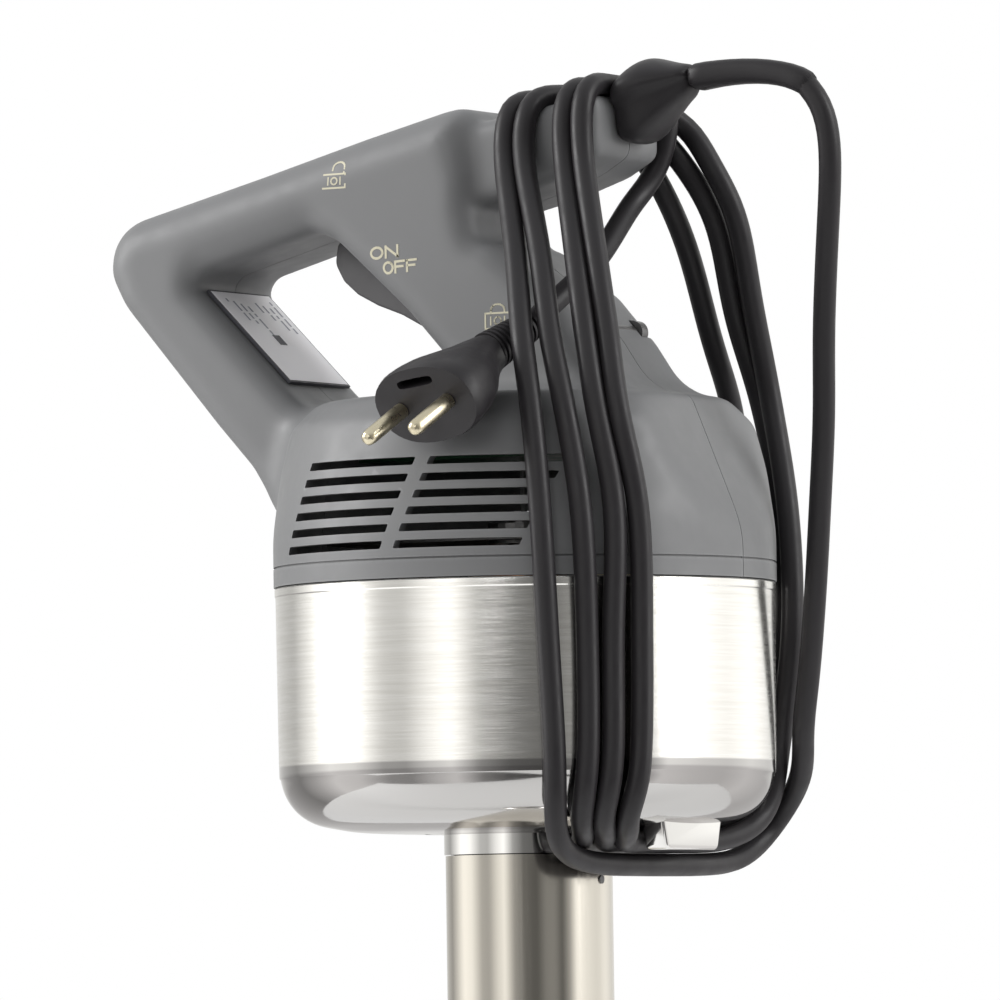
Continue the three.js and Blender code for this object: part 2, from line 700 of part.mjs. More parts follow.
function plugRelief() {
  const end = new THREE.Vector3(...TAIL_ROUTE.at(-1));
  const start = along(PLUG_BACK, -GAP);
  const middle = start.clone().lerp(end, 0.5).add(new THREE.Vector3(0, -0.6, 0.8));
  return loft([
    plugRing(start, 5.6, 5.6),
    plugRing(middle, 4.9, 4.9),
    plugRing(end.clone().lerp(middle, 0.05), 4.2, 4.2),
  ]);
}

function plugPin(side) {
  const root = along(along(PLUG_BASE, GAP), (side * PIN_SPACING) / 2, PLUG_ACROSS);
  return loft([
    plugRing(root, 2.3, 2.3), plugRing(along(root, 18), 2.3, 2.3), plugRing(along(root, 19), 1.4, 1.4),
  ]);
}

// ---- assembly ----
const object = new THREE.Group();

function add(name, body, look) {
  const mesh = new THREE.Mesh(geometryOf(body), LOOKS[look]);
  mesh.name = name;
  object.add(mesh);
}

add("blade_bell", bladeBell(), "polishedSteel");
add("blending_tube", blendingTube(), "tubeSteel");
add("tube_collar", tubeCollar(), "polishedSteel");
add("drive_shaft", driveShaft(), "darkSteel");
add("coupling_socket", couplingSocket(), "darkSteel");
add("blade", bladeSolid(), "polishedSteel");
add("blade_nut", bladeNut(), "darkSteel");
add("shaft_seal", ring(SHAFT_RADIUS + GAP, 14 - GAP, 47, 56, 24), "blackRubber");
add("lower_bush", ring(SHAFT_RADIUS + GAP, TUBE_RADIUS - TUBE_WALL - GAP, 62, 74, 24), "brass");
add("upper_bush", ring(SHAFT_RADIUS + GAP, TUBE_RADIUS - TUBE_WALL - GAP, 400, 412, 24), "brass");

add("motor_can", motorCan(), "brushedSteel");
add("rim_support_lug", rimSupportLug(), "polishedSteel");
add("drive_coupling", driveCoupling(), "darkSteel");
add("motor_shaft", motorShaft(), "darkSteel");
add("lower_bearing", ringOnShaft(13, 459, 466), "darkSteel");
add("lower_bearing_bracket", bearingBracket(461, 464, 13 + GAP), "darkSteel");
add("cooling_fan", fanWheel(), "blackPlastic");
add("armature_core", ringOnShaft(ARMATURE_RADIUS, ...STATOR_Z, 28), "darkSteel");
add("commutator", ringOnShaft(17, 519, 532), "copper");
add("stator_core", statorCore(), "darkSteel");
add("field_winding_near", fieldWinding(-1), "copper");
add("field_winding_far", fieldWinding(1), "copper");
add("upper_bearing", ringOnShaft(11, 537, 543), "darkSteel");
add("upper_bearing_bracket", bearingBracket(538, 541, 11 + GAP), "darkSteel");
for (const [name, side] of [["front", 1], ["rear", -1]]) {
  add("brush_" + name, brush(side), "carbon");
  add("brush_holder_" + name, brushHolder(side), "brass");
}
add("speed_control_board", block(-42, 42, -26, 26, 562, 564), "boardGreen");
add("filter_capacitor", disc(8, 548, 562 - GAP, 16, 24, 10), "blackPlastic");

const housing = housingWhole();
add("near_housing_half", housingHalf(-1, housing), "greyPlastic");
add("far_housing_half", housingHalf(1, housing), "greyPlastic");
SCREW_PLACES.forEach((at, i) => add("housing_screw_" + (i + 1), housingScrew(at), "darkSteel"));
add("rating_plate", ratingPlate(), "plateLabel");
add("inlet_socket", inletSocket(), "blackPlastic");
add("trigger_lever", triggerLever(), "blackPlastic");
add("trigger_pin", triggerPin(), "darkSteel");
add("trigger_spring", triggerSpring(), "darkSteel");
add("micro_switch", microSwitch(), "blackPlastic");
add("switch_plunger", switchPlunger(), "blackPlastic");
add("lock_button", lockButton(), "blackPlastic");

add("cable_connector", cableConnector(), "blackPlastic");
add("strain_relief", strainRelief(), "blackRubber");
add("mains_cord_lead", cordTube(LEAD_ROUTE), "blackRubber");
add("cord_turns_top", turnsOnTop(), "blackRubber");
add("cord_turns_front", turnsInFront(), "blackRubber");
add("cord_turns_under", turnsUnderCan(), "blackRubber");
add("cord_turns_back", turnsBehind(), "blackRubber");
add("mains_cord_tail", cordTube(TAIL_ROUTE), "blackRubber");
add("plug_relief", plugRelief(), "blackRubber");
add("plug_body", plugBody(), "blackPlastic");
add("plug_pin_left", plugPin(-1), "brass");
add("plug_pin_right", plugPin(1), "brass");

object.position.x = -(FRONT_X + REAR_X) / 2;

export default object;
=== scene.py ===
# The looks of the stick blender: its shells, marks, cord and plug, and the material of every part.
import json
import math

import bmesh
import bpy
import numpy as np
import openvdb
from mathutils import Matrix, Vector
from mathutils.bvhtree import BVHTree


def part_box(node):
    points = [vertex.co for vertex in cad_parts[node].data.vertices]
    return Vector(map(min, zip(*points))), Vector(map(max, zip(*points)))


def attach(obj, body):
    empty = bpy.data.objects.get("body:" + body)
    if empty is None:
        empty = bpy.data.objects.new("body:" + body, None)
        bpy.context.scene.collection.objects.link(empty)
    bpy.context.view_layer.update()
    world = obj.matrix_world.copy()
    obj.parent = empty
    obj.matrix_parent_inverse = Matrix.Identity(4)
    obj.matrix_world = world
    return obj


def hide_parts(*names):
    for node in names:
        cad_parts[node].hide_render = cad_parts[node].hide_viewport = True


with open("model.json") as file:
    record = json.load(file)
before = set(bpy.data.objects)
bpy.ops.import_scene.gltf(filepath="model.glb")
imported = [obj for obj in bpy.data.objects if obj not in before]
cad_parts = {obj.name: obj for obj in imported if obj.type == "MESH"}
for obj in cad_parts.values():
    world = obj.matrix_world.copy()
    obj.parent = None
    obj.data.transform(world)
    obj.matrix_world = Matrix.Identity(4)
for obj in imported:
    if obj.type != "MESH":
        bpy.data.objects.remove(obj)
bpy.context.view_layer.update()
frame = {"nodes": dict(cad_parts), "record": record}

MM = 0.001
tube_low, tube_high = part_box("blending_tube")
AXIS_X = (tube_low[0] + tube_high[0]) / 2


def at(x, y, z):
    """A point given in mm from the tube's axis and the bell's rim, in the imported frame, in metres."""
    return Vector((x * MM + AXIS_X, y * MM, z * MM))


# ---- camera, light and stage

VIEW_AZIMUTH = math.radians(31)
VIEW_DISTANCE = 2.995
VIEW_HEIGHT = 0.4017
AIM_HEIGHT = 0.5504
AIM_RIGHT = -0.0072
VIEW_ROLL = math.radians(-0.8)
LENS = 359.5


def make_camera():
    camera = bpy.data.objects.new("camera", bpy.data.cameras.new("camera"))
    bpy.context.collection.objects.link(camera)
    camera.data.sensor_width = 36
    camera.data.lens = LENS
    camera.data.clip_end = 50
    towards = Vector((math.sin(VIEW_AZIMUTH), -math.cos(VIEW_AZIMUTH), 0))
    right = Vector((math.cos(VIEW_AZIMUTH), math.sin(VIEW_AZIMUTH), 0))
    axis = Vector((AXIS_X, 0, 0))
    camera.location = axis + towards * VIEW_DISTANCE + Vector((0, 0, VIEW_HEIGHT))
    aim = axis + right * AIM_RIGHT + Vector((0, 0, AIM_HEIGHT))
    look = (aim - camera.location).to_track_quat("-Z", "Y").to_matrix()
    turn = look @ Matrix.Rotation(VIEW_ROLL, 3, "Z")
    camera.rotation_euler = turn.to_euler()
    bpy.context.scene.camera = camera


LAMP_AIM_HEIGHT = 0.55


def area_light(name, azimuth, elevation, distance, size, power):
    """A lamp aimed at the housing; azimuth runs in degrees from the near side, -Y, towards +X."""
    lamp = bpy.data.lights.new(name, "AREA")
    lamp.shape = "RECTANGLE"
    lamp.size, lamp.size_y = size
    lamp.energy = power
    light = bpy.data.objects.new(name, lamp)
    bpy.context.collection.objects.link(light)
    a, e = math.radians(azimuth), math.radians(elevation)
    out = Vector((math.sin(a) * math.cos(e), -math.cos(a) * math.cos(e), math.sin(e)))
    light.location = Vector((AXIS_X, 0, LAMP_AIM_HEIGHT)) + out * distance
    light.rotation_euler = (-out).to_track_quat("-Z", "Y").to_euler()


# What the steel sees round it at eye level: degrees right of the camera, and brightness.
STUDIO_BANDS = [
    (-180, 0.75), (-135, 0.4), (-120, 0.8), (-104, 1.35), (-88, 1.2), (-70, 0.55), (-58, 0.5), (-46, 0.95),
    (-35, 1.25), (-22, 0.4), (-8, 0.16), (10, 0.12), (22, 0.28), (34, 0.3), (46, 0.12), (58, 0.5),
    (68, 1.25), (88, 1.05), (106, 0.95), (126, 1.15), (150, 0.8), (180, 0.75),
]
BAND_TINT = (1, 0.992, 0.97)
CEILING_COLOUR = (0.5, 0.505, 0.51, 1)
FLOOR_TINT = (0.66, 0.65, 0.66, 1)
ROOM_STRENGTH = 1.15


def light_stage():
    """A white room for the camera; for everything else, a studio of bright and dark upright panels."""
    area_light("key", -62, 22, 1.5, (0.6, 1.0), 15)
    area_light("rim", 105, 22, 1.5, (0.5, 1.2), 11)
    area_light("front", 18, 12, 2.2, (0.5, 0.5), 3)

    world = bpy.data.worlds.new("studio")
    bpy.context.scene.world = world
    world.use_nodes = True
    nodes, links = world.node_tree.nodes, world.node_tree.links
    nodes.clear()

    def feed(value, socket):
        if isinstance(value, bpy.types.NodeSocket):
            links.new(value, socket)
        else:
            socket.default_value = value

    def maths(operation, *values):
        node = nodes.new("ShaderNodeMath")
        node.operation = operation
        for value, socket in zip(values, node.inputs):
            feed(value, socket)
        return node.outputs[0]

    def map_range(source, low, high, at_low=0.0):
        node = nodes.new("ShaderNodeMapRange")
        for value, key in ((source, "Value"), (low, "From Min"), (high, "From Max"), (at_low, "To Min")):
            feed(value, node.inputs[key])
        return node.outputs[0]

    def blend(kind, factor, a, b):
        node = nodes.new("ShaderNodeMix")
        node.data_type, node.blend_type = "RGBA", kind
        for value, key in ((factor, "Factor"), (a, 6), (b, 7)):
            feed(value, node.inputs[key])
        return node.outputs[2]

    direction = nodes.new("ShaderNodeTexCoord").outputs["Generated"]
    turn = nodes.new("ShaderNodeVectorRotate")
    turn.rotation_type = "Z_AXIS"
    turn.inputs["Angle"].default_value = math.radians(90) - VIEW_AZIMUTH
    links.new(direction, turn.inputs["Vector"])
    parts = nodes.new("ShaderNodeSeparateXYZ")
    links.new(turn.outputs[0], parts.inputs[0])
    azimuth = maths("ARCTAN2", parts.outputs[1], parts.outputs[0])
    place = maths("MULTIPLY_ADD", azimuth, 1 / (2 * math.pi), 0.5)
    bands = nodes.new("ShaderNodeValToRGB")
    top_value = max(value for _, value in STUDIO_BANDS)
    elements = bands.color_ramp.elements
    while len(elements) < len(STUDIO_BANDS):
        elements.new(0.5)
    # A ramp sorts its elements as they move, so they are coloured once all are in place.
    for element, (angle, _) in zip(elements, STUDIO_BANDS):
        element.position = angle / 360 + 0.5
    for element, (_, value) in zip(elements, STUDIO_BANDS):
        element.color = (*(value / top_value * tint for tint in BAND_TINT), 1)
    links.new(place, bands.inputs[0])
    walls, height = bands.outputs[0], parts.outputs[2]
    upper = blend("MIX", map_range(height, 0.35, 0.8), walls, CEILING_COLOUR)
    lower = blend("MULTIPLY", 1, walls, FLOOR_TINT)
    room = blend("MIX", map_range(height, -0.12, -0.02, at_low=0.12), lower, upper)

    out = nodes.new("ShaderNodeOutputWorld")
    mix = nodes.new("ShaderNodeMixShader")
    seen = nodes.new("ShaderNodeBackground")
    seen.inputs["Color"].default_value = (1, 1, 1, 1)
    lit = nodes.new("ShaderNodeBackground")
    lit.inputs["Strength"].default_value = ROOM_STRENGTH * top_value
    links.new(room, lit.inputs["Color"])
    camera_ray = nodes.new("ShaderNodeLightPath").outputs["Is Camera Ray"]
    links.new(camera_ray, mix.inputs["Fac"])
    links.new(lit.outputs[0], mix.inputs[1])
    links.new(seen.outputs[0], mix.inputs[2])
    links.new(mix.outputs[0], out.inputs[0])


def make_floor():
    bpy.ops.mesh.primitive_plane_add(size=1.6, location=(AXIS_X, 0, 0))
    floor = bpy.context.object
    floor.name = "floor"
    material = Material("floor_white")
    material.set(base=(0.9, 0.9, 0.9), roughness=0.7)
    material.bump(material.noise(30, 3), 0.02)
    floor.data.materials.append(material.made)


# ---- materials


class Material:
    """A principled material whose colour, roughness and bump come from procedural nodes."""

    def __init__(self, name):
        self.made = bpy.data.materials.new(name)
        self.made.use_nodes = True
        self.nodes = self.made.node_tree.nodes
        self.links = self.made.node_tree.links
        self.shader = self.nodes["Principled BSDF"]
        self.place = self.nodes.new("ShaderNodeTexCoord").outputs["Object"]

    def set(self, base=None, roughness=None, metallic=None, **others):
        if base is not None:
            self.shader.inputs["Base Color"].default_value = (*base, 1)
        if roughness is not None:
            self.shader.inputs["Roughness"].default_value = roughness
        if metallic is not None:
            self.shader.inputs["Metallic"].default_value = metallic
        for key, value in others.items():
            self.shader.inputs[key.replace("_", " ")].default_value = value
        return self

    def noise(self, scale, detail, stretch=(1, 1, 1), roughness=0.5):
        mapping = self.nodes.new("ShaderNodeMapping")
        mapping.inputs["Scale"].default_value = stretch
        self.links.new(self.place, mapping.inputs["Vector"])
        texture = self.nodes.new("ShaderNodeTexNoise")
        texture.inputs["Scale"].default_value = scale
        texture.inputs["Detail"].default_value = detail
        texture.inputs["Roughness"].default_value = roughness
        self.links.new(mapping.outputs[0], texture.inputs["Vector"])
        return texture.outputs[0]

    def ramp(self, source, low, high, at_low, at_high):
        """Maps source's range at_low..at_high onto low..high, numbers or colours."""
        node = self.nodes.new("ShaderNodeValToRGB")
        ends = node.color_ramp.elements
        ends[0].position, ends[1].position = at_low, at_high
        for end, value in zip(ends, (low, high)):
            end.color = (*value, 1) if isinstance(value, tuple) else (value, value, value, 1)
        self.links.new(source, node.inputs[0])
        return node.outputs[0]

    def mix(self, factor, a, b):
        node = self.nodes.new("ShaderNodeMix")
        node.data_type = "RGBA"
        self.links.new(factor, node.inputs["Factor"])
        for value, socket in ((a, node.inputs[6]), (b, node.inputs[7])):
            if isinstance(value, tuple):
                socket.default_value = (*value, 1)
            else:
                self.links.new(value, socket)
        return node.outputs[2]

    def colour(self, source):
        self.links.new(source, self.shader.inputs["Base Color"])

    def rough(self, source):
        self.links.new(source, self.shader.inputs["Roughness"])

    def bump(self, source, strength, distance=0.0002):
        node = self.nodes.new("ShaderNodeBump")
        node.inputs["Strength"].default_value = strength
        node.inputs["Distance"].default_value = distance
        self.links.new(source, node.inputs["Height"])
        before = self.shader.inputs["Normal"]
        if before.is_linked:
            self.links.new(before.links[0].from_socket, node.inputs["Normal"])
        self.links.new(node.outputs[0], before)

    def painted_highlight_mask(self):
        """Near 1 along outward edges, 0.5 on flats; the mask for a painted highlight along the edges."""
        return self.nodes.new("ShaderNodeNewGeometry").outputs["Pointiness"]


# The heights, in metres, over which the can's brushing gives way to the polish of its dish, where a darker
# colour is also painted on as a painted dark reflection.
DISH_LINE = (0.4712, 0.4706)


def can_steel():
    """Brushed round above the line where the dish begins; polished below it, and painted darker there as a
    painted dark reflection.
    """
    m = Material("can_steel").set(metallic=1.0)
    split = m.nodes.new("ShaderNodeSeparateXYZ")
    m.links.new(m.place, split.inputs[0])
    dish = m.nodes.new("ShaderNodeMapRange")
    dish.inputs["From Min"].default_value, dish.inputs["From Max"].default_value = DISH_LINE
    m.links.new(split.outputs[2], dish.inputs["Value"])
    polish_and_painted_reflection = dish.outputs[0]
    lines = m.noise(900, 3, (0.02, 0.02, 1), 0.7)
    fine = m.noise(2600, 2, (0.03, 0.03, 1), 0.6)
    tint = m.mix(m.noise(14, 3), (0.78, 0.765, 0.72), (0.88, 0.865, 0.83))
    brushed = m.mix(m.ramp(lines, 0.0, 1.0, 0.35, 0.65), tint, (0.92, 0.91, 0.88))
    # Below the line the colour turns darker, a painted reflection of a dark room; the lower roughness
    # there is the real polish.
    m.colour(m.mix(polish_and_painted_reflection, brushed, (0.5, 0.49, 0.48)))
    brushed_rough = m.ramp(fine, 0.13, 0.23, 0.3, 0.7)
    m.rough(m.mix(polish_and_painted_reflection, brushed_rough, m.ramp(m.noise(40, 4), 0.05, 0.13, 0.3, 0.75)))
    m.bump(lines, 0.1, 0.00004)
    m.bump(m.noise(24, 2), 0.25, 0.0004)
    return m.made


def polished_steel():
    m = Material("polished_steel").set(base=(0.74, 0.73, 0.71), metallic=1.0)
    m.rough(m.ramp(m.noise(40, 4), 0.04, 0.12, 0.3, 0.75))
    m.bump(m.noise(7, 2), 0.06, 0.0008)
    return m.made


def tube_steel():
    m = Material("tube_steel").set(metallic=1.0)
    m.colour(m.mix(m.noise(9, 3, (1, 1, 0.2)), (0.58, 0.545, 0.48), (0.66, 0.63, 0.57)))
    m.rough(m.ramp(m.noise(500, 3, (1, 1, 0.015)), 0.1, 0.2, 0.35, 0.7))
    m.bump(m.noise(700, 2, (1, 1, 0.01)), 0.05, 0.00003)
    return m.made


def grey_plastic():
    m = Material("grey_plastic").set(roughness=0.5)
    body = m.mix(m.noise(22, 4), (0.166, 0.168, 0.172), (0.188, 0.19, 0.194))
    # The outward edges are painted a lighter grey, a painted highlight where rounded edges catch the
    # light.
    m.colour(m.mix(m.ramp(m.painted_highlight_mask(), 0.0, 0.45, 0.52, 0.6), body, (0.29, 0.295, 0.3)))
    m.rough(m.ramp(m.noise(120, 4), 0.42, 0.56, 0.3, 0.7))
    m.bump(m.noise(2600, 2), 0.18, 0.00006)
    return m.made


def mottled(name, tint, rough, bump, **others):
    """Tint, roughness and bump each from a noise, given by its scale and detail, then two values."""
    m = Material(name).set(**others)
    m.colour(m.mix(m.noise(*tint[:2]), *tint[2:]))
    m.rough(m.ramp(m.noise(*rough[:2]), *rough[2:], 0.3, 0.7))
    m.bump(m.noise(*bump[:2]), *bump[2:])
    return m.made


WORN_METALS = {
    "brass": ((0.62, 0.55, 0.38), (0.72, 0.66, 0.5)),
    "copper": ((0.42, 0.19, 0.09), (0.6, 0.3, 0.16)),
}
PLAIN_PLASTICS = {
    "carbon": ((0.015, 0.015, 0.015), (0.035, 0.035, 0.035)),
    "board_green": ((0.02, 0.1, 0.04), (0.03, 0.15, 0.06)),
    "trigger_grey": ((0.075, 0.073, 0.077), (0.1, 0.098, 0.102)),
    "cream_ink": ((0.55, 0.52, 0.38), (0.66, 0.62, 0.47)),
    "dark_ink": ((0.03, 0.03, 0.04), (0.05, 0.05, 0.06)),
    "grey_ink": ((0.28, 0.29, 0.34), (0.34, 0.35, 0.4)),
}


def make_finishes():
    made = {
        "brushed_steel": can_steel(),
        "polished_steel": polished_steel(),
        "tube_steel": tube_steel(),
        "dark_steel": mottled(
            "dark_steel", (60, 4, (0.16, 0.16, 0.165), (0.3, 0.295, 0.29)),
            (220, 4, 0.3, 0.5), (900, 3, 0.1, 0.00004), metallic=1.0,
        ),
        "grey_plastic": grey_plastic(),
        "black_plastic": mottled(
            "black_plastic", (30, 3, (0.028, 0.0265, 0.029), (0.042, 0.04, 0.0435)),
            (180, 4, 0.34, 0.5), (2200, 2, 0.14, 0.00005),
        ),
        "black_rubber": mottled(
            "black_rubber", (18, 4, (0.017, 0.0155, 0.017), (0.025, 0.023, 0.0255)),
            (150, 4, 0.36, 0.52), (1500, 3, 0.12, 0.00006), Specular_IOR_Level=0.3,
        ),
        "plate_label": mottled(
            "plate_label", (35, 4, (0.9, 0.885, 0.915), (0.96, 0.95, 0.975)),
            (90, 3, 0.35, 0.5), (1200, 2, 0.05, 0.00003),
        ),
    }
    for name, tints in WORN_METALS.items():
        rough, bump = (260, 4, 0.2, 0.38), (1400, 3, 0.08, 0.00004)
        made[name] = mottled(name, (70, 4, *tints), rough, bump, metallic=1.0)
    for name, tints in PLAIN_PLASTICS.items():
        made[name] = mottled(name, (60, 4, *tints), (200, 3, 0.4, 0.6), (1600, 2, 0.1, 0.00004))
    return made


FINISH = make_finishes()


def finish_cad_nodes():
    """Every CAD node that stays gets the finish of its material slot."""
    for part in frame["record"]["subparts"]:
        node = frame["nodes"][part["node"]]
        node.data.materials.clear()
        node.data.materials.append(FINISH[part["material_slot"]])


# ---- mains cord

CORD_DIAMETER = 0.0068
CORD_STEP = 0.003

# The route in mm, as the frame has it: the lead down from the strain relief, the tail to the plug, and
# between them the places of each strand where the turns pass in front, over the top, behind and under.
# The cord starts inside the strain relief, behind the first point of its free run.
INSIDE_RELIEF = (98.4, 0, 670.7)
LEAD_ROUTE = [
    (102.1, 0, 667.7), (104.4, 0.5, 663.6), (105.6, 1.6, 657.4), (105.4, 3.2, 649), (103, 6.5, 636.5),
    (98.6, 12, 619), (94, 18, 598), (89.6, 25, 572), (84, 32, 548), (78, 39, 522), (71.5, 46, 498),
    (65.5, 52, 480), (61, 60, 470), (54, 67, 462), (46, 69, 453), (43.4, 61, 445.5), (42.5, 49, 441.4),
    (42.5, 30, 440.2), (42.5, 10, 440), (42, -10, 440), (41, -30, 440.4), (41.3, -46, 442.8),
    (42.4, -54.5, 446.8), (45, -59.6, 453), (46.7, -62.2, 461),
]
TAIL_ROUTE = [
    (38, 23.8, 662), (37.4, 23.9, 658.5), (36.2, 24, 654.5), (33, 23.6, 647), (30, 17, 640), (31, 4, 630),
    (32, -9, 620.5), (31.5, -22, 612.5), (29.5, -32, 606), (26.9, -41.6, 598.9),
]
FRONT_TURNS = [
    [(9.8, -23.4, 664), (16.5, -23.4, 665.1), (29.9, -23.4, 667.2), (36.2, -23.4, 668.2)],
    [(9.5, -24.4, 654), (16, -24.4, 654), (30, -24.4, 654), (36.5, -24.4, 654)],
    [(24.5, -43.5, 620), (32, -42, 620), (42.6, -39.5, 620), (48.6, -37.5, 620)],
    [(35, -58, 594), (42.4, -54, 594), (51.3, -48.8, 594), (57, -45.2, 594)],
    [(40.9, -63.4, 574), (49.2, -58.2, 574), (57, -53.3, 574), (62.4, -49.9, 574)],
    [(44.8, -65.6, 545), (54.2, -58, 545), (61.2, -50.6, 545), (66, -45, 545)],
    [(45.9, -63.8, 505), (54.8, -56.3, 505), (60.2, -50.6, 505), (65.8, -43.4, 505)],
    [(47.1, -62.9, 470), (54.6, -56.5, 470), (59.8, -51, 470), (65.1, -43.9, 470)],
    [(46.5, -62, 461), (53.5, -56.5, 461), (58.6, -51.2, 461), (64, -44.2, 461)],
]
TOP_TURNS = [
    [(10.2, -17.9, 669), (17.2, -17.9, 670.1), (29.7, -17.9, 672.1), (35.9, -17.9, 673.1)],
    [(10.8, -13, 668.9), (18, -13, 670), (29.8, -13, 671.9), (35.5, -13, 672.8)],
    [(14, 0, 669.6), (21.5, 0, 670.8), (28.4, 0, 671.9), (34.9, 0, 672.9)],
    [(16, 13, 669.7), (22.4, 13, 670.7), (28.8, 13, 671.7), (35.2, 13, 672.8)],
    [(17.5, 17.9, 670.2), (24, 17.9, 671.2), (30.4, 17.9, 672.2), (36.8, 17.9, 673.2)],
    [(20, 23.4, 665.7), (26.8, 23.4, 666.7), (33.3, 23.4, 667.8), (39, 23.4, 668.7)],
]
BACK_TURNS = [
    [(24, 25.2, 659.5), (31, 28.2, 661.5), (39.3, 32.4, 663.5)],
    [(30, 28.5, 649), (39.5, 32, 650), (47, 33.5, 651)],
    [(33, 41, 630), (44.5, 40, 635), (52, 39, 637)],
    [(33, 57, 600), (44, 52.5, 606), (51, 51.2, 608)],
    [(31, 73.4, 577), (45, 66, 580), (51, 61.4, 580)],
    [(31.9, 75.4, 545), (55, 59.8, 545), (60.6, 54, 545)],
    [(32.7, 74.4, 510), (57.2, 57, 510), (62.8, 51.2, 510)],
    [(30, 72.8, 470), (46, 64.2, 470), (52, 59.7, 470)],
    [(29.5, 72.2, 461), (45, 63.6, 461), (51, 58.9, 461)],
]
UNDER_TURNS = [
    [(28.9, 67.2, 453.2), (42.2, 59.7, 453.2), (48.7, 54.6, 453.2)],
    [(29, 55.3, 448.9), (40, 48, 448.9), (47.5, 42, 448.9)],
    [(30, 36, 447.4), (38, 36, 447.4), (46, 36, 447.4)],
    [(30.4, 0, 446.8), (37, 0, 446.8), (43.6, 0, 446.8)],
    [(35.5, -28, 447.2), (42, -27.5, 447.2), (48.2, -27, 447.2)],
    [(45, -43.2, 448.9), (50, -38.5, 448.9), (54.5, -33, 448.9)],
    [(49.9, -53.3, 453.2), (54.4, -48.8, 453.2), (59.1, -43, 453.2)],
]


def cord_route():
    """The whole cord's points in order: up in front, over, and down behind and under for each turn."""
    route = [INSIDE_RELIEF, *LEAD_ROUTE]
    strands = len(TOP_TURNS[0])
    for turn in range(strands):
        route += [row[turn] for row in FRONT_TURNS[::-1] + TOP_TURNS]
        if turn < strands - 1:
            route += [row[turn] for row in BACK_TURNS + UNDER_TURNS]
    return [at(*p) for p in route + TAIL_ROUTE]


def smooth_path(points, step, cuts=12):
    """A centripetal Catmull-Rom line through the points, resampled to even steps and eased."""
    fine = []
    padded = [points[0] * 2 - points[1], *points, points[-1] * 2 - points[-2]]
    for p0, p1, p2, p3 in zip(padded, padded[1:], padded[2:], padded[3:]):
        gaps = [max((b - a).length, 1e-6) ** 0.5 for a, b in ((p0, p1), (p1, p2), (p2, p3))]
        t0, t1 = 0.0, gaps[0]
        t2 = t1 + gaps[1]
        t3 = t2 + gaps[2]
        for i in range(cuts):
            t = t1 + (t2 - t1) * i / cuts
            a1 = p0.lerp(p1, (t - t0) / (t1 - t0))
            a2 = p1.lerp(p2, (t - t1) / (t2 - t1))
            a3 = p2.lerp(p3, (t - t2) / (t3 - t2))
            b1 = a1.lerp(a2, (t - t0) / (t2 - t0))
            b2 = a2.lerp(a3, (t - t1) / (t3 - t1))
            fine.append(b1.lerp(b2, (t - t1) / (t2 - t1)))
    fine.append(points[-1])
    line = np.array([tuple(p) for p in fine])
    for _ in range(2):
        run = np.concatenate([[0], np.cumsum(np.linalg.norm(np.diff(line, axis=0), axis=1))])
        count = int(run[-1] / step) + 1
        even = np.linspace(0, run[-1], count)
        line = np.stack([np.interp(even, run, line[:, k]) for k in range(3)], axis=1)
        for _ in range(3):
            line[1:-1] += 0.25 * (line[:-2] + line[2:] - 2 * line[1:-1])
    return line


def make_cord():
    line = smooth_path(cord_route(), CORD_STEP)
    data = bpy.data.curves.new("mains_cord", "CURVE")
    data.dimensions = "3D"
    data.bevel_depth = CORD_DIAMETER / 2
    data.bevel_resolution = 5
    data.use_fill_caps = True
    spline = data.splines.new("POLY")
    spline.points.add(len(line) - 1)
    for point, place in zip(spline.points, line):
        point.co = (*place, 1)
    spline.use_smooth = True
    cord = bpy.data.objects.new("mains_cord", data)
    bpy.context.collection.objects.link(cord)
    data.materials.append(FINISH["black_rubber"])
    length = float(np.linalg.norm(np.diff(line, axis=0), axis=1).sum())
    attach(cord, "power_unit")
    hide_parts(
        "mains_cord_lead", "mains_cord_tail", "cord_turns_top", "cord_turns_front",
        "cord_turns_under", "cord_turns_back",
    )
    return cord, length


# ---- shape helpers, in mm


def new_object(name, points, faces, finish):
    mesh = bpy.data.meshes.new(name)
    mesh.from_pydata([at(*p) for p in points], [], faces)
    mesh.update()
    mesh.materials.append(FINISH[finish])
    return mesh_object(name, mesh)


def mesh_object(name, mesh):
    made = bpy.data.objects.new(name, mesh)
    bpy.context.collection.objects.link(made)
    return made


def belongs(made, slot, *replaced, body="power_unit"):
    """Gives the piece its body and puts it in the place of the CAD nodes named; slot is not used."""
    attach(made, body)
    if replaced:
        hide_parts(*replaced)
    return made


def shade(made, angle=32):
    """Smooth shading with an edge sharper than the angle, in degrees, kept crisp."""
    mesh = made.data
    mesh.polygons.foreach_set("use_smooth", np.ones(len(mesh.polygons), bool))
    mesh.set_sharp_from_angle(angle=math.radians(angle))


def lathe(name, profile, finish, segments=144, angle=32):
    """A closed [radius, z] profile turned about the tube's axis; radius 0 is not used."""
    points = [
        (r * math.cos(2 * math.pi * i / segments), r * math.sin(2 * math.pi * i / segments), z)
        for i in range(segments) for r, z in profile
    ]
    count = len(profile)
    faces = []
    for i in range(segments):
        near, far = i * count, (i + 1) % segments * count
        for j in range(count):
            k = (j + 1) % count
            faces.append((near + j, far + j, far + k, near + k))
    made = new_object(name, points, faces, finish)
    face_outwards(made)
    shade(made, angle)
    return made


def rectangle(x0, z0, x1, z1):
    return [(x0, z0), (x1, z0), (x1, z1), (x0, z1)]


def face_outwards(made):
    """Turns every face outwards; a closed shape has a positive volume then."""
    work = bmesh.new()
    work.from_mesh(made.data)
    bmesh.ops.recalc_face_normals(work, faces=work.faces)
    if work.calc_volume(signed=True) < 0:
        bmesh.ops.reverse_faces(work, faces=work.faces)
    work.to_mesh(made.data)
    work.free()


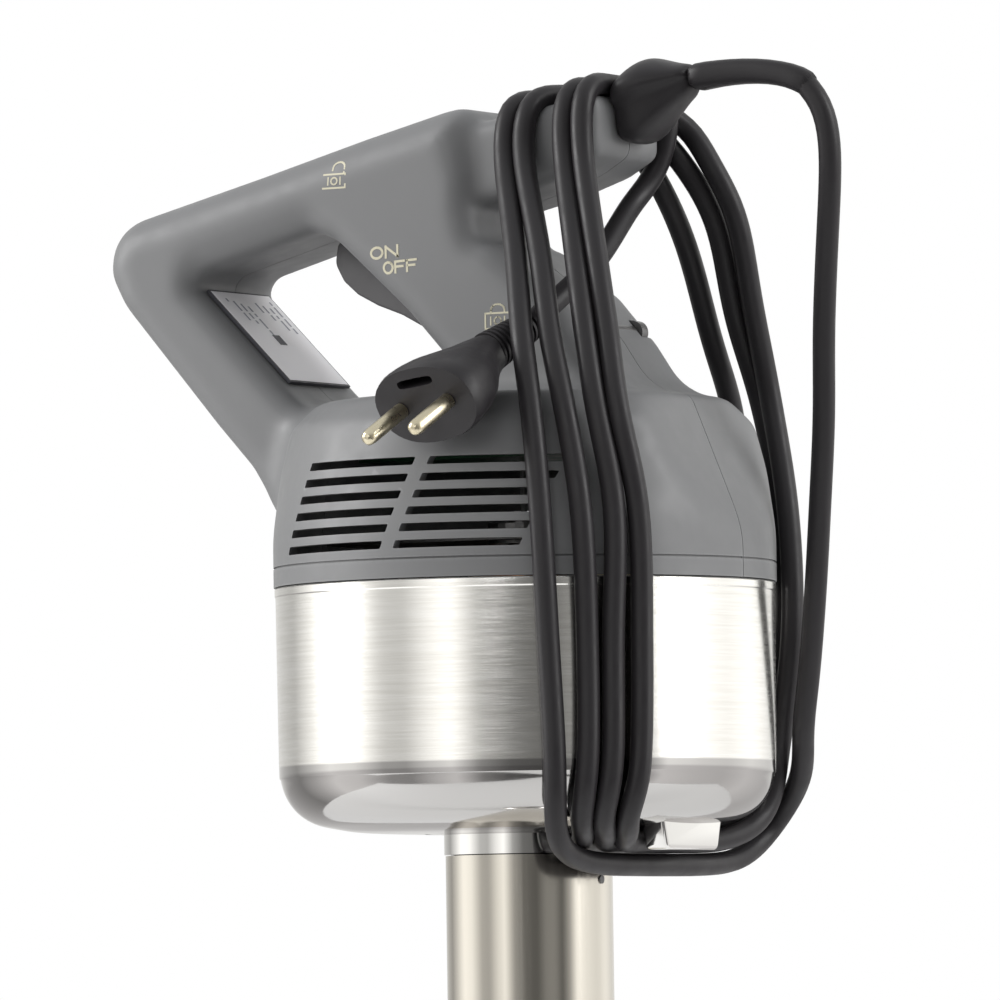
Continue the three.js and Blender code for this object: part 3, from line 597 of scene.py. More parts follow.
def rounded(outline, radius):
    """The [x, z] outline with each corner rounded by radius, or by its own third value, where it fits."""
    made = []
    count = len(outline)
    for i, corner in enumerate(outline):
        here = np.array(corner[:2], float)
        before = np.array(outline[i - 1][:2], float) - here
        after = np.array(outline[(i + 1) % count][:2], float) - here
        wish = corner[2] if len(corner) > 2 else radius
        lengths = np.linalg.norm(before), np.linalg.norm(after)
        before, after = before / lengths[0], after / lengths[1]
        half = math.acos(np.clip(before @ after, -1, 1)) / 2
        cut = min(wish / math.tan(half), 0.48 * min(lengths)) if half < 1.56 else 0
        if cut < 0.05:
            made.append(tuple(here))
            continue
        start, end = here + before * cut, here + after * cut
        for step in range(7):
            t = step / 6
            made.append(tuple((1 - t) ** 2 * start + 2 * t * (1 - t) * here + t * t * end))
    return made


def prism(name, outline, y0, y1, finish="grey_plastic", bevel=0.0):
    """An [x, z] outline run along Y from y0 to y1, its two rims eased by bevel."""
    count = len(outline)
    points = [(x, y, z) for y in (y0, y1) for x, z in outline]
    faces = [tuple(range(count)), tuple(range(2 * count - 1, count - 1, -1))]
    faces += [(i, (i + 1) % count, (i + 1) % count + count, i + count) for i in range(count)]
    made = new_object(name, points, faces, finish)
    face_outwards(made)
    if bevel:
        work = bmesh.new()
        work.from_mesh(made.data)
        rim = [e for e in work.edges if abs(e.verts[0].co.y - e.verts[1].co.y) < 1e-7]
        bmesh.ops.bevel(
            work, geom=rim, offset=bevel * MM, segments=4, profile=0.5, affect="EDGES", clamp_overlap=True,
        )
        work.to_mesh(made.data)
        work.free()
    shade(made)
    return made


def rod(name, radius, x, z, y0, y1, finish="grey_plastic", segments=32):
    """A round bar along Y."""
    angles = [2 * math.pi * i / segments for i in range(segments)]
    ring = [(x + radius * math.cos(a), z + radius * math.sin(a)) for a in angles]
    return prism(name, ring, y0, y1, finish)


def merged(name, objects):
    """Separate solids made into one object."""
    work = bmesh.new()
    for made in objects:
        work.from_mesh(made.data)
    mesh = bpy.data.meshes.new(name)
    work.to_mesh(mesh)
    work.free()
    mesh.materials.append(objects[0].data.materials[0])
    for made in objects:
        bpy.data.objects.remove(made)
    return mesh_object(name, mesh)


def turn_about_axis(made, angle):
    """Turns the shape about the tube's axis."""
    move = Matrix.Translation(at(0, 0, 0))
    made.data.transform(move @ Matrix.Rotation(angle, 4, "Z") @ move.inverted())


def bake(made):
    """Turns what the modifiers give into the object's own mesh."""
    bpy.context.view_layer.update()
    made.data = bpy.data.meshes.new_from_object(
        made.evaluated_get(bpy.context.evaluated_depsgraph_get())
    )
    made.modifiers.clear()


def carve(target, tool, operation="DIFFERENCE"):
    """Cuts the tool out of the target, joins it on or keeps what they share, and deletes it."""
    cut = target.modifiers.new("carve", "BOOLEAN")
    cut.operation, cut.object, cut.solver = operation, tool, "MANIFOLD"
    bake(target)
    bpy.data.objects.remove(tool)


def loft(name, rings, finish, angle=40):
    """Closed rings of points joined in order, with flat ends."""
    count = len(rings[0])
    points = [tuple(p) for ring in rings for p in ring]
    last = (len(rings) - 1) * count
    faces = [
        (i + j, i + (j + 1) % count, i + count + (j + 1) % count, i + count + j)
        for i in range(0, last, count) for j in range(count)
    ]
    faces += [tuple(range(count)), tuple(range(last, last + count))[::-1]]
    made = new_object(name, points, faces, finish)
    face_outwards(made)
    shade(made, angle)
    return made


# ---- grey housing, from a distance field

CELL = 1.2
HOUSING_RADIUS, HOUSING_BOTTOM, HOUSING_TOP, HOUSING_WALL = 75.5, 524.7, 580, 3.2
HANDLE_HALF_WIDTH, TIP_HALF_WIDTH, SHELL_WALL = 26, 20, 4
STRUT_EDGE, BAR_EDGE, TIP_EDGE = 8, 12.5, 5
FIELD_X, FIELD_Y, FIELD_Z, FIELD_RADIUS = (-146, 86), (-82, 82), (508, 684), 125
DRUM_OUTLINE = [
    (-60, 490), (HOUSING_RADIUS, 490), (HOUSING_RADIUS, 540, 60), (73, 558, 60), (69.5, 572, 8),
    (61, HOUSING_TOP, 8), (-60, HOUSING_TOP),
]
HANDLE_OUTLINE = [
    (-66, 545), (-76, 551), (-83, 562), (-96, 576), (-127.5, 612, 30), (-135, 623, 14), (-135, 631, 12),
    (-131, 637, 12), (-126, 640, 14), (-81, 651), (-44, 660.5), (-4, 670), (-4, 636), (-2, 627.5),
    (3.5, 625.5), (22.6, 611), (35, 597), (46, 581), (54, 562), (40, 548),
]
TIP_OUTLINE = [
    (-12, 662), (38.6, 670, 4), (38.6, 652, 4), (29, 646.5), (10, 640.4), (-12, 636),
]
HAND_HOLE = [
    (-103, 618, 7), (-99.5, 622.5, 7), (-60, 633, 6), (-52, 629.5, 6), (-27, 607, 40), (-10.5, 589, 8),
    (-12, 576), (-60, 576), (-71, 586, 8),
]
FRONT_SLOPE = [(76, 538), (58.7, 578.7)]


def outline_distance(outline, xs, zs):
    """Signed distance of each grid point from the outline, negative inside."""
    px, pz = np.meshgrid(xs, zs, indexing="ij")
    nearest = np.full(px.shape, 1e9)
    inside = np.zeros(px.shape, bool)
    for (x0, z0), (x1, z1) in zip(outline, outline[1:] + outline[:1]):
        ex, ez = x1 - x0, z1 - z0
        t = np.clip(((px - x0) * ex + (pz - z0) * ez) / (ex * ex + ez * ez), 0, 1)
        nearest = np.minimum(nearest, np.hypot(px - x0 - t * ex, pz - z0 - t * ez))
        crosses = (z0 > pz) != (z1 > pz)
        with np.errstate(divide="ignore", invalid="ignore"):
            inside ^= crosses & (px < x0 + (pz - z0) * ex / np.where(ez == 0, 1e-9, ez))
    return np.where(inside, -nearest, nearest)


def soft_union(a, b, blend):
    share = np.maximum(blend - np.abs(a - b), 0) / blend
    return np.minimum(a, b) - share * share * blend / 4


def soft_overlap(a, b, blend):
    return -soft_union(-a, -b, blend)


def run_across(flat, ys, half_width, edge):
    """The flat field run along Y to the half width, its rims rounded by edge."""
    w0 = flat[:, None, :] + edge
    w1 = (np.abs(ys) - half_width)[None, :, None] + edge
    return np.minimum(np.maximum(w0, w1), 0) + np.hypot(np.maximum(w0, 0), np.maximum(w1, 0)) - edge


def housing_block():
    """The outside of both halves in one piece: drum, handle and its tip, with soft fillets between."""
    xs, ys, zs = (np.arange(*span, CELL) for span in (FIELD_X, FIELD_Y, FIELD_Z))
    radii = np.arange(0, FIELD_RADIUS, CELL)
    drum_flat = outline_distance(rounded(DRUM_OUTLINE, 0), radii, zs)
    from_axis = np.hypot(*np.meshgrid(xs, ys, indexing="ij"))
    drum = np.stack([np.interp(from_axis, radii, drum_flat[:, k]) for k in range(len(zs))], axis=2)
    (x0, z0), (x1, z1) = FRONT_SLOPE
    length = math.hypot(x1 - x0, z1 - z0)
    slope = ((xs[:, None] - x0) * (z1 - z0) - (zs[None, :] - z0) * (x1 - x0)) / length
    drum = soft_overlap(drum, np.broadcast_to(slope[:, None, :], drum.shape), blend=2.5)
    solid = outline_distance(rounded(HANDLE_OUTLINE, 9), xs, zs)
    hole = outline_distance(rounded(HAND_HOLE, 3), xs, zs)
    # The rims grow rounder over 15 mm from the strut up to the bar, which rises one in four.
    up_the_bar = np.clip((zs[None, :] - 622 - 0.25 * (xs[:, None] + 100)) / 15, 0, 1)
    edge = STRUT_EDGE + (BAR_EDGE - STRUT_EDGE) * up_the_bar[:, None, :]
    handle = run_across(soft_overlap(solid, -hole, blend=2), ys, HANDLE_HALF_WIDTH, edge)
    tip_flat = outline_distance(rounded(TIP_OUTLINE, 5), xs, zs)
    tip = run_across(tip_flat, ys, TIP_HALF_WIDTH, TIP_EDGE)
    field = soft_union(soft_union(handle, tip, blend=3), drum, blend=9)

    grid = openvdb.FloatGrid(3.0 * CELL)
    grid.copyFromArray(np.ascontiguousarray(field, np.float32))
    places, quads = grid.convertToQuads(0.0)
    places = places * CELL + (xs[0], ys[0], zs[0])
    block = new_object("housing", places.tolist(), quads.tolist(), "grey_plastic")
    face_outwards(block)
    work = bmesh.new()
    work.from_mesh(block.data)
    for _ in range(4):
        bmesh.ops.smooth_vert(
            work, verts=work.verts, factor=0.5, use_axis_x=True, use_axis_y=True, use_axis_z=True,
        )
    work.to_mesh(block.data)
    work.free()
    return block


VENT_ROWS, VENT_PITCH, VENT_HEIGHT, VENT_LOWEST = 6, 4.9, 2.4, 534.6
VENT_SLANT = 2.0
VENT_FIELDS = ((-45.5, -4), (0.5, 38))
VENT_DEPTHS = ((-81, -51), (51, 81))


def vent_slots():
    """Rows of slots on both sides, their ends on slanted lines."""
    slots = []
    lean = VENT_SLANT * VENT_HEIGHT / VENT_PITCH / 2
    for row in range(VENT_ROWS):
        z = VENT_LOWEST + row * VENT_PITCH
        low, high = z - VENT_HEIGHT / 2, z + VENT_HEIGHT / 2
        for x0, x1 in VENT_FIELDS:
            x0, x1 = x0 + VENT_SLANT * row, x1 + VENT_SLANT * row
            outline = [(x0 - lean, low), (x1 - lean, low), (x1 + lean, high), (x0 + lean, high)]
            for y0, y1 in VENT_DEPTHS:
                slots.append(prism("slot", rounded(outline, 0.5), y0, y1))
    return merged("slots", slots)


DRUM_INSIDE = [
    (58, HOUSING_TOP - HOUSING_WALL), (65, 573.5), (67.4, 568), (70, 556),
    (HOUSING_RADIUS - HOUSING_WALL, 537), (HOUSING_RADIUS - HOUSING_WALL, 500),
]
PILLAR_CAVITY = [
    (-46, 634), (-6, 638), (-8, 624), (16, 609), (28, 595), (40, 576), (-4, 576), (-6, 590), (-22, 610),
]
TRIGGER_POCKET = [
    (-58, 634), (-40, 634), (-14, 612), (-14, 599), (-30, 595), (-56, 614), (-66, 620), (-66, 630),
]
SCREW_PLACES = [(-118, 619), (-79, 572), (-20, 655), (30, 600)]
TRIGGER_PIVOT = (-42.5, 626)
PIN_RADIUS, PIN_END, PIN_BOSS_RADIUS = 2, 19, 4.2
LOCK_AT = (6, 604)
BUTTON_RADIUS, BUTTON_COLLAR_RADIUS = 5, 7
HEAD_RADIUS, HEAD_BOTTOM, HEAD_TOP = 3.6, 14.5, 18
GAP = 0.3
SEAM_HALF = 0.15


def half_of(block, name, node, side):
    """The block on one side of the seam."""
    half = block.copy()
    half.data = block.data.copy()
    half.name = name
    bpy.context.collection.objects.link(half)
    y0, y1 = (SEAM_HALF, 110) if side > 0 else (-110, -SEAM_HALF)
    carve(half, prism("keep", rectangle(-170, HOUSING_BOTTOM, 120, 720), y0, y1), operation="INTERSECT")
    shade(half, 34)
    return belongs(half, "grey_plastic", node)


def make_housing():
    """Both halves of one hollowed block; the near one comes back for the marks to lie on."""
    block = housing_block()
    roof = HOUSING_TOP - HOUSING_WALL
    drum_inside = lathe("drum_inside", [(1, 500), *DRUM_INSIDE[::-1], (1, roof)], "grey_plastic", 96)
    (x0, z0), (x1, z1) = FRONT_SLOPE
    inset = HOUSING_WALL + 0.5
    past_slope = [(x0 - inset, z0), (x1 - inset, z1), (x1 - inset, 600), (120, 600), (120, z0)]
    carve(drum_inside, prism("front", past_slope, -90, 90))
    inner = HANDLE_HALF_WIDTH - SHELL_WALL - 3
    tools = [
        drum_inside, prism("pillar_inside", PILLAR_CAVITY, -inner, inner), vent_slots(),
        prism("pocket", TRIGGER_POCKET, -9, 14.5),
        lathe("groove", rectangle(74.9, 530.1, 77, 530.7), "grey_plastic"),
    ]
    tools += [rod("screw_hole", HEAD_RADIUS + GAP, x, z, 14, 40) for x, z in SCREW_PLACES]
    tools.append(rod("button_hole", BUTTON_RADIUS + GAP, *LOCK_AT, 5, 40))
    tools.append(rod("pin_hole", PIN_RADIUS + GAP, *TRIGGER_PIVOT, -PIN_END - GAP, PIN_END + GAP))
    for tool in tools:
        carve(block, tool)
    near = half_of(block, "near_housing", "near_housing_half", -1)
    half_of(block, "far_housing", "far_housing_half", 1)
    bpy.data.objects.remove(block)
    return near


# ---- steel

CAN_BOTTOM, CAN_TOP, CAN_WALL = 450.3, 524.4, 1.6
CAN_OUTSIDE = [
    (31, CAN_BOTTOM), (48.8, 451), (57.6, 452.2), (64, 453.8), (69, 457), (72.4, 461.6), (74.1, 467),
    (74.6, 473), (75, 521.6), (75.25, 522), (75.25, 524), (75, CAN_TOP),
]
TUBE_PROFILE = [(25, 58), (25, 443.7), (23.5, 443.7), (23.5, 58)]
COLLAR_PROFILE = [(25.4, 444), (25.4, 450), (30.6, 450.4), (30.6, 456), (23.5, 456), (23.5, 444)]


def smooth_profile(points, sharp_from, step=5):
    """The points up to sharp_from eased into a curve, the rest as they are."""
    curve = []
    padded = np.array([points[0], *points, points[-1], points[-1]], float)
    for i in range(sharp_from):
        p0, p1, p2, p3 = padded[i:i + 4]
        for n in range(step):
            t = n / step
            curve.append(tuple(
                0.5 * (2 * p1 + (p2 - p0) * t + (2 * p0 - 5 * p1 + 4 * p2 - p3) * t * t
                       + (3 * p1 - p0 - 3 * p2 + p3) * t ** 3)
            ))
    return curve + list(points[sharp_from:])


def make_steel():
    outside = smooth_profile(CAN_OUTSIDE, 7)
    # Inside, the outline again a wall further in, and a wall up under the dish, without the rolled rim.
    inside = [
        (r - CAN_WALL, z + (CAN_WALL if r < 70 else 0.6))
        for r, z in outside[::-1] if r < 75.2 and z < 523
    ]
    profile = [*outside, (75 - CAN_WALL, CAN_TOP), *inside, (31, CAN_BOTTOM + CAN_WALL)]
    belongs(lathe("can", profile, "brushed_steel", 192, 25), "brushed_steel", "motor_can")
    belongs(lathe("tube", TUBE_PROFILE, "tube_steel"), "tube_steel", "blending_tube")
    belongs(lathe("collar", COLLAR_PROFILE, "polished_steel"), "polished_steel", "tube_collar")


BELL_OUTSIDE = [
    (52, 0.3), (52, 22), (50.6, 30), (47, 38), (40.5, 45), (33, 49.5), (27.5, 51.6), (26.5, 52),
    (26.5, 57.4),
]
BELL_INSIDE = [
    (25.2, 57.4), (25, 50), (31.5, 47.5), (39, 42.6), (45, 36), (48.4, 28.5), (49.5, 21), (49.5, 0.3),
]
BELL_NOTCHES, BELL_NOTCH = 4, [(-11, -4), (11, -4), (11, 22, 7), (-11, 22, 7)]
# The lug's outline in [y, z], and how far along X it stands.
LUG_OUTLINE, LUG_X = [(-18.5, 457), (-15, 444.2), (15, 444.2), (18.5, 457)], 53
SET_SCREW_Z = 436


def bell_shape():
    profile = [(51.7, 0), *smooth_profile(BELL_OUTSIDE, 8), *BELL_INSIDE, (49.8, 0)]
    bell = lathe("bell", profile, "polished_steel")
    for i in range(BELL_NOTCHES):
        notch = prism("notch", rounded(BELL_NOTCH, 0), -62, -35)
        turn_about_axis(notch, i * 2 * math.pi / BELL_NOTCHES)
        carve(bell, notch)
    shade(bell, 30)
    return bell


def make_lower_steel():
    belongs(bell_shape(), "polished_steel", "blade_bell")
    lug = prism("lug", rounded(LUG_OUTLINE, 2), -4, 4, "polished_steel", bevel=1.2)
    turn_about_axis(lug, math.pi / 2)
    lug.data.transform(Matrix.Translation((LUG_X * MM, 0, 0)))
    belongs(lug, "polished_steel", "rim_support_lug")
    screw = rod("set_screw", 1.3, 0, SET_SCREW_Z, -25.4, -23.4, "dark_steel", 20)
    turn_about_axis(screw, math.pi / 2)
    belongs(screw, "dark_steel")


# ---- trigger, button and screws

TRIGGER_OUTLINE = [
    (-60, 630, 2), (-61, 624), (-58, 618.5), (-53, 614.2), (-46, 610.6), (-37.5, 607.4), (-30, 603.4),
    (-25, 602), (-22, 604), (-27, 608.5), (-43, 624.5), (-48, 630.5), (-54, 632.5),
]


def make_controls():
    trigger = prism("trigger", rounded(TRIGGER_OUTLINE, 5), -8, 8, "trigger_grey", bevel=2.4)
    carve(trigger, rod("boss", PIN_BOSS_RADIUS, *TRIGGER_PIVOT, -7.9, 7.9), operation="UNION")
    carve(trigger, rod("bore", PIN_RADIUS + 0.2, *TRIGGER_PIVOT, -10, 10))
    shade(trigger, 34)
    belongs(trigger, "black_plastic", "trigger_lever", body="trigger")
    button = merged("lock_button", [
        rod("cap", BUTTON_RADIUS, *LOCK_AT, 18, 27.4, "black_plastic", 48),
        rod("collar", BUTTON_COLLAR_RADIUS, *LOCK_AT, 16.4, 18.4, "black_plastic", 48),
    ])
    belongs(button, "black_plastic", "lock_button", body="lock")
    for i, (x, z) in enumerate(SCREW_PLACES):
        head = rod("head", HEAD_RADIUS, x, z, HEAD_BOTTOM, HEAD_TOP, "dark_steel")
        for half_x, half_z in ((2, 0.35), (0.35, 2)):
            bar = rectangle(x - half_x, z - half_z, x + half_x, z + half_z)
            carve(head, prism("slot", bar, HEAD_TOP - 1, HEAD_TOP + 1))
        screw = merged(f"screw_{i + 1}", [head, rod("shank", 2, x, z, -16, 14.4, "dark_steel", 16)])
        shade(screw)
        belongs(screw, "dark_steel", f"housing_screw_{i + 1}")


# ---- connector and strain relief

# Along X: half width, top and bottom of the connector, in mm.
CONNECTOR_SECTIONS = [
    (38.3, 11.6, 674.6, 656.6), (39.4, 13.4, 676.8, 655.4), (42.6, 14, 679.4, 654.6),
    (46.5, 13.4, 681, 655.8), (50, 12, 680.6, 659), (54, 9.8, 679.4, 663), (58, 7.8, 678.4, 667),
    (62, 6, 678, 669.4),
]
# The connector's section: half widths, and heights from its widest line to its top or bottom.
CONNECTOR_RING = [
    (-1, 0.1), (-0.94, 0.45), (-0.45, 0.9), (0, 1), (0.45, 0.9), (0.94, 0.45), (1, 0.1), (0.97, -0.1),
    (0.74, -0.2), (0.7, -0.75), (0.55, -1), (-0.55, -1), (-0.7, -0.75), (-0.74, -0.2), (-0.97, -0.1),
]
WIDEST_LINE = 0.62
# Along X: the middle's height, half height and half width of the tapering relief.
RELIEF_SECTIONS = [
    (60.5, 673.6, 4.4, 6.6), (66, 674.4, 4.1, 5.4), (74, 674.9, 3.9, 4.6), (83, 674.7, 3.75, 4.2),
    (90.5, 673.6, 3.7, 4), (97, 671.7, 3.8, 3.9), (101.6, 668.6, 3.8, 3.8),
]


def egg(centre, up, side, count=32, power=2.6):
    """A ring between an ellipse and a box, from two half axes."""
    def swell(value):
        return abs(value) ** (2 / power) * math.copysign(1, value)

    angles = [2 * math.pi * i / count for i in range(count)]
    return [centre + side * swell(math.cos(a)) + up * swell(math.sin(a)) for a in angles]


def make_connector():
    rings = []
    for x, half, top, bottom in CONNECTOR_SECTIONS:
        middle = top * WIDEST_LINE + bottom * (1 - WIDEST_LINE)
        rings.append([
            Vector((x, y * half, middle + z * (top - middle if z > 0 else middle - bottom)))
            for y, z in CONNECTOR_RING
        ])
    body = loft("connector", rings, "black_rubber")
    soften(body, 2)
    belongs(body, "black_plastic", "cable_connector")

    padded = [RELIEF_SECTIONS[0], *RELIEF_SECTIONS, RELIEF_SECTIONS[-1]]
    rings = []
    for before, (x, z, half_z, half_y), after in zip(padded, RELIEF_SECTIONS, padded[2:]):
        up = Vector((before[1] - after[1], 0, after[0] - before[0])).normalized()
        rings.append(egg(Vector((x, 0, z)), up * half_z, Vector((0, half_y, 0))))
    relief = loft("relief", rings, "black_rubber")
    soften(relief, 1)
    return belongs(relief, "black_rubber", "strain_relief")


def soften(made, levels):
    """Subdivides a coarse shape into a smooth one."""
    layer = made.modifiers.new("smooth", "SUBSURF")
    layer.levels = layer.render_levels = levels
    bake(made)
    shade(made, 50)


# ---- plug

PLUG_BASE, PLUG_BACK = Vector((19, -86.7, 574.3)), Vector((23.6, -58.2, 590.8))
PLUG_OUT = (PLUG_BASE - PLUG_BACK).normalized()
PLUG_ACROSS = Vector((0.974, -0.185, 0.12))
PLUG_ACROSS = (PLUG_ACROSS - PLUG_OUT * PLUG_ACROSS.dot(PLUG_OUT)).normalized()
PLUG_THICK = PLUG_OUT.cross(PLUG_ACROSS)
PIN_SPACING = 19
RELIEF_RIBS, RIB_HEIGHT, RIB_LEAN = 9, 0.45, 0.4
BACK_RADIUS, END_RADIUS = 5.9, 4.4
# Distance from the back towards the pins, half width, half thickness.
PLUG_SECTIONS = [
    (0, 6, 5.8), (5, 7.5, 7), (11, 11.5, 8.2), (17, 15.8, 9.8), (23, 18.4, 11.4), (28, 19.2, 12.2),
    (31.5, 19.4, 12.4), (33.2, 19, 12),
]
# Distance from the plug's face and radius.
PIN_SECTIONS = [(0.3, 2.35), (1, 2.4), (16.5, 2.4), (18.2, 2.1), (19, 1.3), (19.2, 0.6)]


def make_plug():
    def section(middle, thick, half, count, power):
        return egg(middle, PLUG_THICK * thick, PLUG_ACROSS * half, count, power)

    rings = [section(PLUG_BACK + PLUG_OUT * d, thick, half, 40, 2.3) for d, half, thick in PLUG_SECTIONS]
    centre = PLUG_BACK + PLUG_OUT * PLUG_SECTIONS[-1][0]
    rings.append([p.lerp(centre, 0.06) + PLUG_OUT * 0.1 for p in rings[-1]])
    body = loft("plug_body", rings, "black_rubber", 35)
    slot = loft("slot", [section(centre + PLUG_OUT * d, 1.4, 7, 24, 4) for d in (-7, 3)], "black_rubber")
    slot.data.transform(Matrix.Translation(PLUG_THICK * 7.5 * MM))
    carve(body, slot)
    shade(body, 38)
    belongs(body, "black_plastic", "plug_body")

    end = Vector(TAIL_ROUTE[-1])
    axis = (end - PLUG_BACK).normalized()
    side = axis.cross(PLUG_THICK).normalized()
    up = side.cross(axis)
    rings = []
    for i in range(RELIEF_RIBS * 4 + 1):
        t = i / (RELIEF_RIBS * 4)
        radius = BACK_RADIUS + (END_RADIUS - BACK_RADIUS) * t
        radius += RIB_HEIGHT if i % 4 in (0, 1) else -RIB_HEIGHT
        lean = axis * (RIB_LEAN if i % 4 in (1, 3) else 0)
        rings.append(egg(PLUG_BACK.lerp(end, t) + lean, up * radius, side * radius, 24, 2))
    relief = loft("plug_relief", rings, "black_rubber", 35)
    pieces = [body, belongs(relief, "black_rubber", "plug_relief")]

    for sign, node in ((-1, "plug_pin_left"), (1, "plug_pin_right")):
        root = PLUG_BASE + PLUG_ACROSS * sign * PIN_SPACING / 2
        rings = [section(root + PLUG_OUT * d, r, r, 28, 2) for d, r in PIN_SECTIONS]
        pieces.append(belongs(loft(node + "_shape", rings, "brass", 50), "brass", node))
    return pieces


# ---- marks and rating plate

INK_LIFT, INK_ROOT = 0.08, 0.25
WORD_HEIGHT, WORD_LINE, WORD_TILT, LETTER_PITCH = 3.2, 0.72, 0.05, 1.28
PADLOCK_LINE = 0.55


def surface_under(tree, x, z):
    """Where a ray along +Y through [x, z] meets the surface, in mm."""
    hit = tree.ray_cast(at(x, -120, z), Vector((0, 1, 0)))[0]
    return hit.y / MM if hit else -HANDLE_HALF_WIDTH


def lay_on(name, flat_shapes, tree):
    """Flat [x, z] shapes laid on the near side of the housing as thin raised ink."""
    work = bmesh.new()
    for outline in flat_shapes:
        rows = [
            [work.verts.new(at(x, surface_under(tree, x, z) + depth, z)) for x, z in outline]
            for depth in (INK_ROOT, -INK_LIFT)
        ]
        count = len(outline)
        for i in range(count):
            j = (i + 1) % count
            work.faces.new((rows[0][i], rows[0][j], rows[1][j], rows[1][i]))
        work.faces.new(rows[1])
        work.faces.new(rows[0][::-1])
    bmesh.ops.triangulate(work, faces=work.faces)
    bmesh.ops.recalc_face_normals(work, faces=work.faces)
    mesh = bpy.data.meshes.new(name)
    work.to_mesh(mesh)
    work.free()
    mesh.materials.append(FINISH["cream_ink"])
    belongs(mesh_object(name, mesh), "grey_plastic")


def stroke(points, width, closed=False):
    """Short quads that follow a line of [x, z] points."""
    pairs = list(zip(points, points[1:] + points[:1] if closed else points[1:]))
    shapes = []
    for (x0, z0), (x1, z1) in pairs:
        length = math.hypot(x1 - x0, z1 - z0)
        ex, ez = (x1 - x0) / length, (z1 - z0) / length
        grow = width / 2
        nx, nz = -ez * grow, ex * grow
        x0, z0, x1, z1 = x0 - ex * grow, z0 - ez * grow, x1 + ex * grow, z1 + ez * grow
        shapes.append([(x0 + nx, z0 + nz), (x0 - nx, z0 - nz), (x1 - nx, z1 - nz), (x1 + nx, z1 + nz)])
    return shapes


def arc(x, z, rx, rz, start, end, steps):
    return [
        (x + rx * math.cos(math.radians(a)), z + rz * math.sin(math.radians(a)))
        for a in np.linspace(start, end, steps)
    ]


GLYPHS = {
    "O": [arc(0.5, 0.5, 0.5, 0.5, 0, 345, 16) + [(1.0, 0.5)]],
    "N": [[(0, 0), (0, 1), (1, 0), (1, 1)]],
    "F": [[(0, 0), (0, 1), (0.95, 1)], [(0, 0.52), (0.8, 0.52)]],
}


def word(text, x, z, width):
    """A short word of block capitals from stroked lines, its lower left corner at [x, z]."""
    shapes = []
    advance = width / (len(text) * LETTER_PITCH - (LETTER_PITCH - 1))
    for i, letter in enumerate(text):
        for path in GLYPHS[letter]:
            points = []
            for px, pz in path:
                dx, dz = (i * LETTER_PITCH + px) * advance, pz * WORD_HEIGHT
                points.append((x + dx - dz * WORD_TILT * 0.2, z + dz + dx * WORD_TILT))
            shapes += stroke(points, WORD_LINE)
    return shapes


def padlock(x, z, width, height, is_open):
    """A padlock's outline with a round keyhole between two bars, its body's middle at [x, z]."""
    w, h = width / 2, height / 2
    thin = PADLOCK_LINE * 0.8
    shapes = stroke(rectangle(x - w, z - h, x + w, z + h), PADLOCK_LINE, closed=True)
    shapes += stroke(arc(x, z, w * 0.28, h * 0.5, 0, 330, 12), thin, closed=True)
    for side in (-1, 1):
        shapes += stroke([(x + side * w * 0.56, z - h * 0.5), (x + side * w * 0.56, z + h * 0.5)], thin)
    shift = width * 0.16 if is_open else 0
    lift = height * 0.3 if is_open else 0
    hoop = [
        (x - w * 0.55 + shift, z + h + lift),
        *arc(x + shift, z + h * 1.4 + lift, w * 0.55, h * 0.75, 180, 0, 9),
        (x + w * 0.55 + shift, z + h),
    ]
    return shapes + stroke(hoop, PADLOCK_LINE)


def make_marks(near):
    tree = BVHTree.FromObject(near, bpy.context.evaluated_depsgraph_get())
    words = word("ON", -36.8, 623.2, 9.4) + word("OFF", -32.4, 618.6, 11.6)
    lay_on("switch_marks", words, tree)
    lay_on("open_lock_mark", padlock(-49.6, 647.4, 7.8, 4.2, True), tree)
    lay_on("closed_lock_mark", padlock(7.4, 602.6, 8.6, 4.6, False), tree)


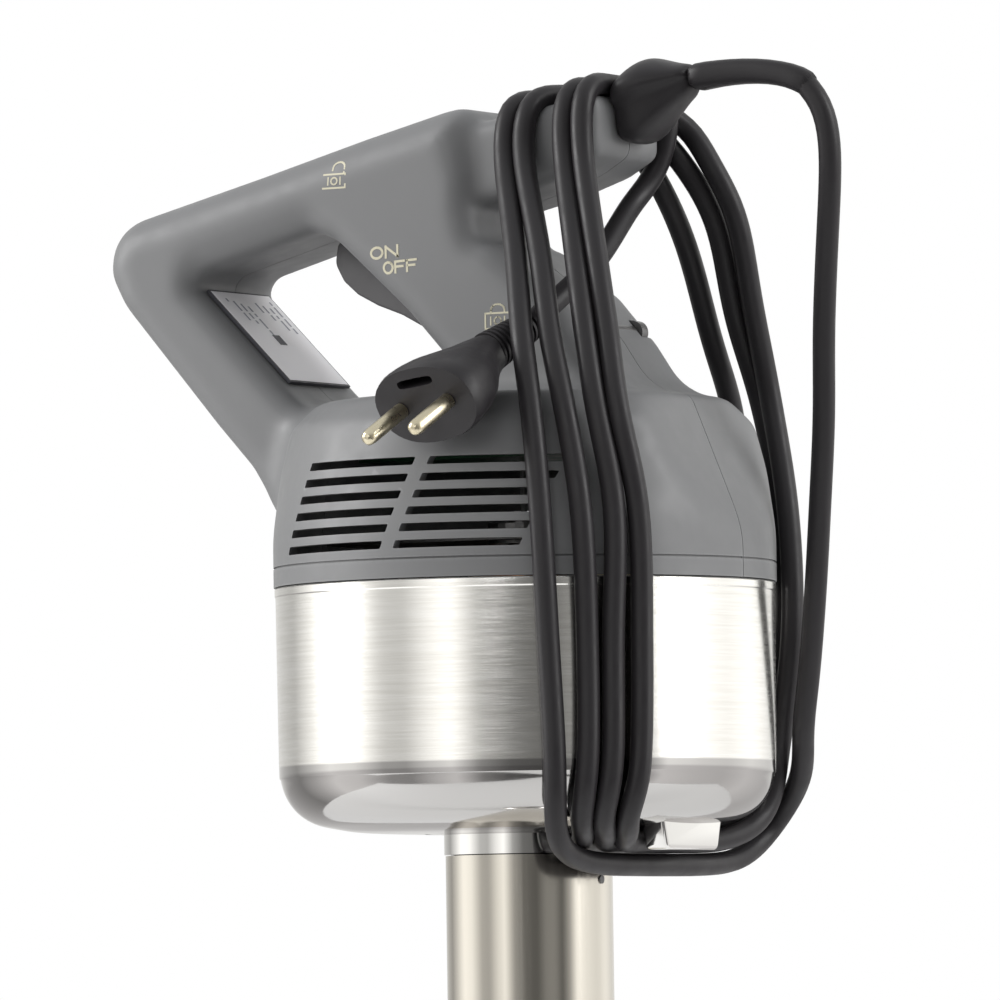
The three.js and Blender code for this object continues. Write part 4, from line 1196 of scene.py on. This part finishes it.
PLATE_CENTRE = (-86.5, 602.7)
PLATE_HALF = (20, 16.4)
PLATE_TILT = math.radians(45)
PLATE_BORDER, PLATE_MARGIN = 0.7, 3
PLATE_ROWS, PLATE_ROW_PITCH, MARK_HALF = 9, 3.1, 0.45


def make_rating_plate():
    """A pale plate in a dark frame on the strut's inner face, with generic rows of marks."""
    x, z = PLATE_CENTRE
    place = Matrix.Translation(at(x, 0, z)) @ Matrix.Rotation(PLATE_TILT, 4, "Y")
    place = place @ Matrix.Translation(-at(0, 0, 0))

    def slab(name, along, across, heights, finish):
        (x0, x1), (low, high) = along, heights
        made = prism(name, rectangle(x0, low, x1, high), *across, finish)
        made.data.transform(place)
        return made

    long_half, wide_half = PLATE_HALF
    long_edge, wide_edge = long_half + PLATE_BORDER, wide_half + PLATE_BORDER
    rim = slab("plate_frame", (-long_edge, long_edge), (-wide_edge, wide_edge), (-0.5, 0.42), "dark_ink")
    plate = slab("plate", (-long_half, long_half), (-wide_half, wide_half), (-0.3, 0.55), "plate_label")
    belongs(plate, "plate_label", "rating_plate")
    belongs(rim, "black_plastic")
    marks = []
    for row in range(PLATE_ROWS):
        y = wide_half - PLATE_MARGIN - row * PLATE_ROW_PITCH
        x = -long_half + PLATE_MARGIN + (row * 7 % 4)
        for n in range(7):
            length = 1.4 + (row * 5 + n * 3) % 4
            if x + length > long_half - 2 or (row + n) % 5 == 4:
                break
            across = (y - MARK_HALF, y + MARK_HALF)
            marks.append(slab("mark", (x, x + length), across, (0.5, 0.6), "grey_ink"))
            x += length + 0.9
    belongs(merged("plate_marks", marks), "plate_label")
    belongs(slab("plate_square", (-1, 3.4), (-3.2, 0.8), (0.5, 0.62), "dark_ink"), "plate_label")


make_camera()
light_stage()
make_floor()
finish_cad_nodes()
near = make_housing()
make_steel()
make_lower_steel()
make_controls()
relief = make_connector()
plug_pieces = make_plug()
make_marks(near)
make_rating_plate()
cord, cord_length = make_cord()

bpy.context.scene.view_settings.view_transform = "Standard"
